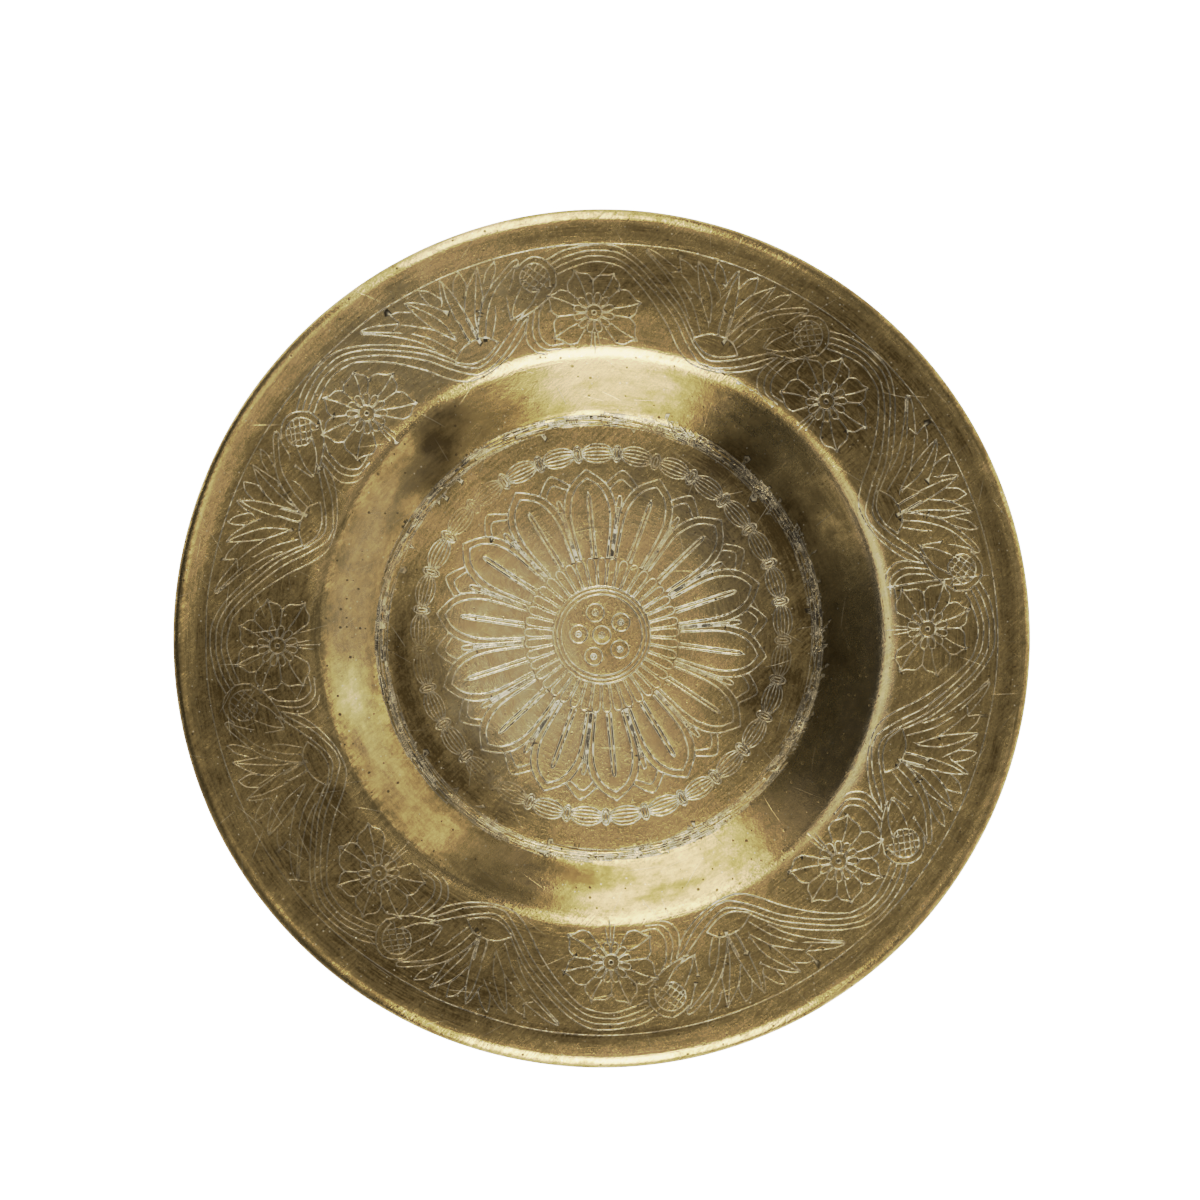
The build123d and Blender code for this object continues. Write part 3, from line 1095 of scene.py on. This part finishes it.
away = split_vector(scratch_group, vectors(scratch_group, "SUBTRACT", shifted, cells["Position"]))
cosine = combine(scratch_group, "COSINE", heading)
sine = combine(scratch_group, "SINE", heading)


def crossed(total, first, second):
    """How far a place lies from the scratch's middle, along it or beside it."""
    distance_off = total(times(away[first], cosine), times(away[second], sine))
    return combine(scratch_group, "ABSOLUTE", distance_off)


along = over(crossed(add, 0, 1), scratch_in["Length"])
beside = over(crossed(less, 1, 0), scratch_in["Width"])
taper = ramp(scratch_group, along, 0.2, 1.0, 1.0, 0.0)
line = ramp(scratch_group, beside, 0.3, 1.0, 1.0, 0.0)
present = combine(scratch_group, "LESS_THAN", cell_chance[1], scratch_in["Share"])
faint = times(present, cell_chance[2])
line = times(times(line, taper), faint)
feed(scratch_group, scratch_out["Mask"], line)

# %% [markdown]
# Rubbing leaves fine lines that all run one way. A noise that is stretched along that way is enough,
# and in polar places the same group makes rings instead of straight lines.

# %% Rubbing marks: noise drawn out along one way
rub_group, rub_in, rub_out = new_tree(
    "rubbing_marks",
    "ShaderNodeTree",
    {
        "Place": (VECTOR, None),
        "Turn": (FLOAT, 0.0),
        "Fineness": (FLOAT, 900.0),
        "Stretch": (FLOAT, 0.06),
        "Seed": (FLOAT, 0.0),
    },
    {"Mark": FLOAT},
)
turning = {"Vector": rub_in["Place"], "Angle": rub_in["Turn"]}
turned = wired(rub_group, "ShaderNodeVectorRotate", turning, rotation_type="Z_AXIS")[0]
drawn = vectors(rub_group, "MULTIPLY", turned, join_vector(rub_group, rub_in["Stretch"], 1.0, 1.0))
rub_noise = noise(rub_group, drawn, rub_in["Fineness"], 3.0, 0.7, rub_in["Seed"])
feed(rub_group, rub_out["Mark"], ramp(rub_group, rub_noise["Fac"], 0.35, 0.65))

# %% Pits
pit_group, pit_in, pit_out = new_tree(
    "pits",
    "ShaderNodeTree",
    {"Place": (VECTOR, None), "Cell": (FLOAT, 0.004), "Share": (FLOAT, 0.3), "Seed": (FLOAT, 0.0)},
    {"Mask": FLOAT},
)
add, less, times, times_add, over = sums_in(pit_group)
shift = scaled(pit_group, (0.6, 1.0, 0.0), pit_in["Seed"])
pit_place = vectors(pit_group, "ADD", pit_in["Place"], shift)
pit_cells, pit_chance = flat_cells(pit_group, pit_place, over(1.0, pit_in["Cell"]))
pit_size = times_add(pit_chance[0], 0.16, 0.04)
pit_body = ramp(pit_group, over(pit_cells["Distance"], pit_size), 0.4, 1.0, 1.0, 0.0)
pit_present = combine(pit_group, "LESS_THAN", pit_chance[1], pit_in["Share"])
feed(pit_group, pit_out["Mask"], times(pit_body, pit_present))

# %% [markdown]
# Film is thick or thin where the tray was held, stood or wiped, and no noise knows those places; the same
# patches also paint highlights and shade into the colour. A soft oval that is listed with its place, with a
# ragged outline, can say each of them.

# %% A patch of film, haze, painted highlight and painted shade, placed by compass bearing and distance from the middle
patch_group, patch_in, patch_out = new_tree(
    "film_patch",
    "ShaderNodeTree",
    {
        "Bearing": (FLOAT, 0.0),
        "Distance": (FLOAT, 0.0),
        "Ragged": (FLOAT, 0.0),
        "Patch bearing": (FLOAT, 0.0),
        "Patch distance": (FLOAT, 0.1),
        "Along": (FLOAT, 0.05),
        "Across": (FLOAT, 0.02),
        "Soft": (FLOAT, 0.6),
        "Amount": (FLOAT, 1.0),
    },
    {"Film": FLOAT},
)
add, less, times, times_add, over = sums_in(patch_group)
swing = less(patch_in["Bearing"], patch_in["Patch bearing"])
swing = combine(patch_group, "WRAP", swing, math.pi, -math.pi)
reach = over(times(swing, patch_in["Patch distance"]), patch_in["Along"])
breadth = over(less(patch_in["Distance"], patch_in["Patch distance"]), patch_in["Across"])
span = combine(patch_group, "SQRT", times_add(reach, reach, times(breadth, breadth)))
span = add(span, patch_in["Ragged"])
inner = less(1.0, patch_in["Soft"])
outer = add(1.0, patch_in["Soft"])
feed(patch_group, patch_out["Film"], ramp(patch_group, span, inner, outer, patch_in["Amount"], 0.0))
print("shader groups:", [g.name for g in bpy.data.node_groups if g.bl_idname == "ShaderNodeTree"])

# %% [markdown]
# ## Aged brass
# The metal itself is one polished yellow brass. Age lays a brown film on it, thin where hands and cloths rub,
# thick on the rim, so the base colour runs between bright, aged and dark brass by masks; listed patches in
# the same masks also paint highlights and shade into that colour.
# Dried polish has stayed in the cuts, which makes them pale, broken by dashes of trapped dirt; the pale
# flanks also carry a painted highlight, a dark lip of painted shade edges each cut, and the dashes are partly
# painted shade.

# %% Colour mixing and new materials
def blend_colour(tree, mask, first, second):
    """The first colour where the mask is 0, the second where it is 1."""
    inputs = {"Factor": mask, 6: first, 7: second}
    return wired(tree, "ShaderNodeMix", inputs, data_type="RGBA")[2]


def new_material(name):
    """A metal whose surface is still to be described."""
    material = bpy.data.materials.new(name)
    material.use_nodes = True
    shader = material.node_tree.nodes["Principled BSDF"]
    shader.inputs["Metallic"].default_value = 1.0
    return material, material.node_tree, shader

# %% Aged brass: places, blotches and rubbing marks
brass, tree, shader = new_material("aged_brass")
add, less, times, times_add, over = sums_in(tree)
place = add_node(tree, "ShaderNodeTexCoord").outputs["Object"]
flat_place = vectors(tree, "MULTIPLY", place, (1.0, 1.0, 0.0))
distance = combine(tree, "LENGTH", flat_place, kind="ShaderNodeVectorMath")
flat_parts = split_vector(tree, flat_place)
bearing = combine(tree, "ARCTAN2", flat_parts[0], flat_parts[1])


def blotches(size, seed, detail, low=0.3, high=0.7, where=place, **more):
    """Tarnish of one size, as a mask over the brass."""
    sizes = {"Size": size, "Seed": seed, "Low": low, "High": high, "Detail": detail}
    return use(tree, blotch_group, Place=where, **sizes, **more)["Mask"]


wide = blotches(0.06, 1.0, 4.0)
middling = blotches(0.018, 5.0, 5.0)
fine = blotches(0.005, 2.0, 6.0, Roughness=0.7)
specks = blotches(0.0012, 3.0, 3.0)
polar_place = join_vector(tree, times(bearing, 0.12), distance, 0.0)
round_rubs = use(tree, rub_group, Place=polar_place, Fineness=700.0, Stretch=0.10, Seed=1.0)["Mark"]
level_rubs = use(
    tree, rub_group, Place=flat_place, Turn=-0.75, Fineness=800.0, Stretch=0.12, Seed=2.0
)["Mark"]
smear_place = join_vector(tree, times(bearing, 0.035), distance, 0.0)
smears = blotches(0.009, 7.0, 4.0, 0.40, 0.72, smear_place)

# %% Adding patches and layers to a value
ragged = noise(tree, place, 45.0, 5.0, 0.65)["Fac"]
ragged = times_add(ragged, 1.6, -0.8)


def with_patches(total, patches, ragged_edge):
    """A value with every patch of a table added to it."""
    for patch_bearing, patch_distance, length, breadth, soft, amount in patches:
        patch = use(
            tree, patch_group, Bearing=bearing, Distance=distance, Ragged=ragged_edge,
            Patch_bearing=math.radians(patch_bearing), Patch_distance=patch_distance * MM,
            Along=length * MM, Across=breadth * MM, Soft=soft, Amount=amount,
        )["Film"]
        total = add(total, patch)
    return total


def with_layers(total, *layers):
    """A value with shares of other values added to it."""
    for value, share in layers:
        total = times_add(value, share, total)
    return total

# %% Where the film is thick and thin, and where highlights and shade are painted into it
# Besides tarnish, these patches paint light and shade into the colour: brighter patches on the floor's
# middle, the rim, the shoulder and the rolled edge are painted highlights, and darker ones on the outer
# floor, the rim, the wall and the rolled edge are painted shade.
film_and_light_patches = (
    # bearing, distance, along, across, softness, amount (above zero darker, with more film and painted shade;
    # below zero brighter, with less film and painted highlight)
    (45, 165, 50, 40, 0.6, 0.25),
    (238, 165, 130, 34, 0.6, 0.30),
    (205, 155, 30, 30, 0.6, 0.15),
    (338, 162, 75, 36, 0.6, -0.25),
    (150, 160, 80, 40, 0.6, -0.25),
    (0, 142, 50, 12, 0.5, -0.35),
    (355, 188, 70, 8, 0.5, -0.45),
    (175, 191, 45, 5, 0.5, -0.5),
    (305, 191, 100, 5, 0.5, -0.5),
    (250, 199, 120, 6, 0.5, 0.5),
    (255, 131, 70, 4, 0.5, 0.20),
    (80, 97, 75, 5, 0.4, 0.3),
    (240, 96, 60, 5, 0.4, 0.4),
    (64, 86, 72, 29, 0.5, 1.05),
    (248, 84, 62, 20, 0.5, 1.15),
    (335, 76, 60, 24, 0.6, 0.32),
    (126, 80, 34, 22, 0.6, 0.60),
    (190, 48, 60, 42, 0.6, -0.25),
    (275, 50, 55, 42, 0.6, -0.45),
    (35, 165, 34, 36, 0.6, 0.25),
    (185, 112, 22, 6, 0.5, 0.45),
    (165, 122, 16, 4, 0.5, 0.35),
    (197, 125, 18, 4, 0.5, 0.35),
    (60, 133, 60, 4, 0.5, -0.25),
    (315, 112, 14, 12, 0.55, 0.95),
    (323, 123, 13, 11, 0.55, 0.95),
    (330, 117, 20, 18, 0.80, 0.4),
    (36, 116, 14, 16, 0.50, 0.40),
    (90, 191, 90, 4, 0.4, 0.30),
    (0, 190, 60, 4, 0.4, 0.30),
    (268, 158, 32, 34, 0.6, 0.32),
    (2, 166, 44, 11, 0.6, 0.40),
    (180, 185, 46, 4, 0.4, 0.50),
    (165, 142, 60, 9, 0.6, -0.30),
    (285, 191, 80, 3.5, 0.4, -0.25),
    (210, 118, 14, 18, 0.5, 0.2),
)

# %% The film with its painted highlights and shade as a whole: 0 is bare bright brass, 1 and more is dark
off_middle = vectors(tree, "SUBTRACT", flat_place, (0.0, 0.0009, 0.0))
rim_distance = combine(tree, "LENGTH", off_middle, kind="ShaderNodeVectorMath")
# The wall is cleaner than the rim, because hands and cloths slide over it.
wall_starts = ramp(tree, distance, 0.104, 0.109)
wall_ends = ramp(tree, rim_distance, 0.126, 0.131, 1.0, 0.0)
on_wall = times(wall_starts, wall_ends)
off_wall = times_add(on_wall, -0.55, 1.0)

# Thin film in the well, thick on the rim, and an edge that is rubbed bright again.
film_and_painted_light = ramp(tree, rim_distance, 0.1340, 0.1405, 0.28, 0.98)
film_and_painted_light = add(film_and_painted_light, ramp(tree, distance, 0.191, 0.195, 0.0, -0.55))
film_and_painted_light = with_layers(film_and_painted_light, (less(wide, 0.5), 0.35), (less(middling, 0.5), 0.35))
# Painted highlights and painted shade go in here with the tarnish patches.
film_and_painted_light = with_patches(film_and_painted_light, film_and_light_patches, times(ragged, 0.7))
round_share = times(times(round_rubs, middling), 2.0)
level_share = times(less(1.0, middling), level_rubs)
rubs = times_add(level_share, 2.0, round_share)
film_and_painted_light = with_layers(
    film_and_painted_light,
    (less(fine, 0.5), times(off_wall, 0.45)),
    (less(specks, 0.5), times(off_wall, 0.35)),
    (times(smears, on_wall), 0.38),
    (less(rubs, 1.0), times_add(on_wall, -0.20, 0.30)),
)
film_and_painted_light = combine(tree, "MAXIMUM", film_and_painted_light, 0.0)
# Past a point more film darkens less, so that thick film keeps its texture.
thick_from, thick_loss = 0.85, -0.55
thick_film = combine(tree, "MAXIMUM", less(film_and_painted_light, thick_from), 0.0)
film_and_painted_light = times_add(thick_film, thick_loss, film_and_painted_light)
print("film patches:", len(film_and_light_patches))

# %% Colours, and haze of dried polish with a painted highlight
# These pale patches are partly dried polish and partly a painted highlight on the floor's middle, the wall,
# the shoulder and the rim.
haze_and_highlight_patches = (
    # bearing, distance, along, across, softness, share of pale dried polish and painted highlight on the
    # surface
    (270, 40, 44, 30, 0.6, 0.26),
    (200, 42, 45, 36, 0.6, 0.14),
    (20, 40, 50, 40, 0.6, 0.08),
    (95, 133, 90, 4, 0.5, 0.30),
    (275, 118, 70, 10, 0.6, 0.14),
    (330, 165, 60, 30, 0.6, 0.10),
)
bright_brass = (0.88, 0.645, 0.305, 1.0)
aged_brass = (0.55, 0.408, 0.172, 1.0)
dark_brass = (0.10, 0.064, 0.020, 1.0)
# Dark brown of dirt in pits and cuts, also used as painted shade on the cuts' lips and dashes.
dirt_and_shade_brown = (0.035, 0.025, 0.015, 1.0)
# Pale dried polish; this colour also paints highlights in the haze patches and on the cuts' flanks.
dried_polish_and_sheen = (0.93, 0.85, 0.63, 1.0)

colour = blend_colour(tree, ramp(tree, film_and_painted_light, 0.0, 0.5, smooth_step=False), bright_brass, aged_brass)
colour = blend_colour(tree, ramp(tree, film_and_painted_light, 0.5, 1.25, smooth_step=False), colour, dark_brass)
# Pale dried polish and painted highlight from the haze patches.
polish_haze_and_highlight = with_patches(0.0, haze_and_highlight_patches, times(ragged, 0.5))
polish_haze_and_highlight = times(polish_haze_and_highlight, times_add(fine, 0.9, 0.5), use_clamp=True)
colour = blend_colour(tree, polish_haze_and_highlight, colour, dried_polish_and_sheen)

# %% What the cuts hold, with painted shade and painted highlights
cut_mask = add_node(tree, "ShaderNodeAttribute", attribute_name="cut").outputs["Fac"]
kept_mask = add_node(tree, "ShaderNodeAttribute", attribute_name="kept").outputs["Fac"]
# A cut has a thin dark lip of painted shade, flanks that hold pale dried polish with a painted highlight, and
# dashes at its bottom that are partly dirt and partly painted shade.
lip_shade = times(ramp(tree, cut_mask, 0.0, 0.05), ramp(tree, cut_mask, 0.12, 0.30, 1.0, 0.0))
lip_shade = times(lip_shade, times(kept_mask, 0.92))
colour = blend_colour(tree, lip_shade, colour, dirt_and_shade_brown)
# Painted highlight with dried polish: the cuts' flanks turn pale and less metallic, less so in the chased
# ring.
flank_polish_and_highlight = times(ramp(tree, cut_mask, 0.08, 0.30), kept_mask)
flank_polish_and_highlight = times(flank_polish_and_highlight, ramp(tree, film_and_painted_light, 0.6, 1.2, 1.0, 0.40))
ring_starts = ramp(tree, distance, 0.095, 0.098)
ring_ends = ramp(tree, distance, 0.107, 0.110, 1.0, 0.0)
near_chasing = times(ring_starts, ring_ends)
flank_polish_and_highlight = times(flank_polish_and_highlight, times_add(near_chasing, -0.30, 1.0))
pale_polish_and_highlight = times(flank_polish_and_highlight, times_add(fine, 0.75, 0.40), use_clamp=True)
colour = blend_colour(tree, pale_polish_and_highlight, colour, dried_polish_and_sheen)
# Dark dashes, partly dirt and partly painted shade, laid more thickly in the chased ring.
dash_dirt_and_shade_noise = blotches(0.0030, 8.0, 3.0, 0.44, 0.51)
dash_dirt_and_shade_noise = times_add(near_chasing, 0.15, dash_dirt_and_shade_noise, use_clamp=True)
dirt_and_shade_dashes = times(dash_dirt_and_shade_noise, ramp(tree, cut_mask, 0.45, 0.75))
dirt_and_shade_dashes = times(dirt_and_shade_dashes, kept_mask)
colour = blend_colour(tree, times(dirt_and_shade_dashes, 0.9), colour, dirt_and_shade_brown)

# %% Scratches, pits and dust
scratches = use(tree, scratch_group, Place=flat_place, Cell=0.014, Width=0.00022, Length=0.010)["Mask"]
pits = use(tree, pit_group, Place=flat_place, Cell=0.0045, Share=0.22)["Mask"]
dust = use(tree, pit_group, Place=flat_place, Cell=0.003, Share=0.12, Seed=4.0)["Mask"]
colour = blend_colour(tree, times(scratches, 0.35), colour, dried_polish_and_sheen)
colour = blend_colour(tree, times(pits, 0.65), colour, dirt_and_shade_brown)
colour = blend_colour(tree, times(dust, 0.5), colour, dried_polish_and_sheen)
feed(tree, shader.inputs["Base Color"], colour)
feed(tree, shader.inputs["Metallic"], times_add(pale_polish_and_highlight, -0.60, 1.0))

# %% Gloss and fine relief
gloss = times_add(film_and_painted_light, 0.12, 0.15)
gloss = with_layers(gloss, (fine, 0.08), (pale_polish_and_highlight, 0.2), (pits, 0.3))
feed(tree, shader.inputs["Roughness"], gloss)
relief = with_layers(
    times(pits, -1.2),
    (scratches, -0.7),
    (specks, times(off_wall, 0.60)),
    (fine, 0.6),
    (rubs, times_add(on_wall, -0.40, 0.55)),
    (times(middling, on_wall), 1.2),
)
bump = wired(tree, "ShaderNodeBump", {"Strength": 1.0, "Distance": 0.00004, "Height": relief})
feed(tree, shader.inputs["Normal"], bump[0])
for piece in pieces:
    piece.data.materials.append(brass)
print("brass material has", len(tree.nodes), "nodes")

# %% [markdown]
# ## Iron wire
# The hoop inside the rolled edge is plain drawn iron, dull and lightly rusted.

# %% Iron material for the wire
iron, tree, shader = new_material("iron_wire")
place = add_node(tree, "ShaderNodeTexCoord").outputs["Object"]
rust = use(tree, blotch_group, Place=place, Size=0.006, Seed=4.0, Low=0.4, High=0.65)["Mask"]
iron_grey, rust_brown = (0.16, 0.15, 0.14, 1.0), (0.14, 0.06, 0.03, 1.0)
feed(tree, shader.inputs["Base Color"], blend_colour(tree, rust, iron_grey, rust_brown))
feed(tree, shader.inputs["Roughness"], combine(tree, "MULTIPLY_ADD", rust, 0.35, 0.45))
wire_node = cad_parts["edge_wire"]
wire_node.data.materials.clear()
wire_node.data.materials.append(iron)

# %% [markdown]
# ## Light, floor and camera
# Polished brass has hardly any colour of its own: it shows the room. The room here is a dim dome
# with soft white panels, placed by compass direction and height as a photographer places softboxes.
# The floor is a plain pale sheet, and the camera looks straight down at the tray.

# %% Dome with soft panels
world = bpy.data.worlds.new("studio")
bpy.context.scene.world = world
world.use_nodes = True
sky = world.node_tree
sky.nodes.clear()
add, less, times, times_add, over = sums_in(sky)
direction = add_node(sky, "ShaderNodeTexCoord").outputs["Generated"]
parts = split_vector(sky, direction)
height = times(combine(sky, "ARCSINE", parts[2]), 180 / math.pi)
level = vectors(sky, "NORMALIZE", vectors(sky, "MULTIPLY", direction, (1.0, 1.0, 0.0)))


def soft_panel(compass, half_width, low, high, radiance, edge=6.0):
    """A panel centred on a compass bearing, from a low to a high elevation, in degrees."""
    turn = math.radians(compass)
    facing = vectors(sky, "DOT_PRODUCT", level, (math.sin(turn), math.cos(turn), 0.0))
    dark_end = math.cos(math.radians(half_width + edge))
    lit_end = math.cos(math.radians(max(half_width - edge, 0)))
    across = ramp(sky, facing, dark_end, lit_end)
    above = ramp(sky, height, low - edge, low + edge)
    below = ramp(sky, height, high - edge, high + edge, radiance, 0.0)
    return times(across, times(above, below))


radiance = ramp(sky, height, 50.0, 86.0, 0.04, 0.425)
leaning = times_add(parts[0], -2.2, 1.0)  # the left side of the ceiling is the brighter one
leaning = combine(sky, "MAXIMUM", combine(sky, "MINIMUM", leaning, 1.25), 0.75)
radiance = times(radiance, leaning)
panels = (
    # compass bearing, half width, low and high elevation, radiance
    (184, 15, 4, 26, 1.6),
    (178, 22, 26, 72, 5.0),
    (150, 7, 6, 26, 0.35),
    (346, 20, 4, 26, 2.3),
    (350, 20, 26, 68, 3.2),
    (318, 8, 4, 26, 0.25),
    (60, 22, 2, 28, 0.80),
    (108, 38, 2, 30, 0.64),
    (82, 50, 34, 72, 0.32),
    (241, 10, 6, 24, 0.62),
    (30, 10, 6, 26, 0.40),
    (268, 42, 38, 72, 0.74),
)
for panel in panels:
    radiance = add(radiance, soft_panel(*panel))
room = wired(sky, "ShaderNodeBackground", {"Strength": radiance})[0]
backdrop_light = 5.0  # what the camera sees past the floor's end
plain = wired(sky, "ShaderNodeBackground", {"Strength": backdrop_light})[0]
seen = add_node(sky, "ShaderNodeLightPath").outputs["Is Camera Ray"]
chosen = wired(sky, "ShaderNodeMixShader", {0: seen, 1: room, 2: plain})[0]
wired(sky, "ShaderNodeOutputWorld", {"Surface": chosen})

# %% Pale floor
floor_mesh = bpy.data.meshes.new("studio_floor")
half_floor = 3.0
corners = [(-1, -1), (1, -1), (1, 1), (-1, 1)]
floor_mesh.from_pydata([(x * half_floor, y * half_floor, 0.0) for x, y in corners], [], [(0, 1, 2, 3)])
studio_floor = in_scene("studio_floor", floor_mesh)
paper = bpy.data.materials.new("pale_paper")
paper.use_nodes = True
tree = paper.node_tree
tree.nodes.clear()
matt = wired(tree, "ShaderNodeBsdfDiffuse", {"Color": (0.85, 0.85, 0.85, 1.0)})[0]
# The paper glows for the camera only, so that it prints white and hardly lights the tray.
seen = add_node(tree, "ShaderNodeLightPath").outputs["Is Camera Ray"]
glow = wired(tree, "ShaderNodeEmission", {"Strength": combine(tree, "MULTIPLY_ADD", seen, 4.4, 0.3)})[0]
both = wired(tree, "ShaderNodeAddShader", {0: matt, 1: glow})[0]
wired(tree, "ShaderNodeOutputMaterial", {"Surface": both})
floor_mesh.materials.append(paper)
studio_floor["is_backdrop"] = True

# %% Camera
lens, sensor = 150.0, 36.0  # millimetres
width_seen = 0.55704  # metres of the rim's plane across the picture
camera_data = bpy.data.cameras.new("camera")
camera_data.lens = lens
camera_data.sensor_width = sensor
camera = in_scene("camera", camera_data)
rim_top = cad_box[1][2]
camera.location = (-0.00074, 0.01806, rim_top + width_seen * lens / sensor)
bpy.context.scene.camera = camera
print("camera height", round(camera.location.z, 3), "m")

# %% Print curve: keeps the darks deep and lets the brightest reflections turn pale
view = bpy.context.scene.view_settings
view.view_transform = "Standard"
view.look = "None"
view.use_curve_mapping = True
white_level = 5.0
print_curve = (
    # scene light, shown brightness
    (0.0, 0.0), (0.1, 0.085), (0.2, 0.19), (0.42, 0.44), (0.7, 0.575), (0.97, 0.68), (1.3, 0.78),
    (2.0, 0.87), (3.0, 0.93), (5.0, 1.0),
)
view.curve_mapping.white_level = (white_level, white_level, white_level)
curve = view.curve_mapping.curves[3]
for scene_light, shown in print_curve[1:-1]:
    curve.points.new(scene_light / white_level, shown)
view.curve_mapping.update()

# %% [markdown]
# ## The pieces on the frame
# The dish is one sheet in the real object, so its five regions all ride on the same body and stand
# in for the frame's one dish. The wire stays the frame's own, with the iron finish.

# %% Tie the pieces to the frame
for piece in pieces:
    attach(piece, "root")
    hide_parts("dish")


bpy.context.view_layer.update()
for name, box in (("CAD", cad_box), ("visual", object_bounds())):
    print(name, "box in mm", [[round(v / MM, 2) for v in corner] for corner in box])
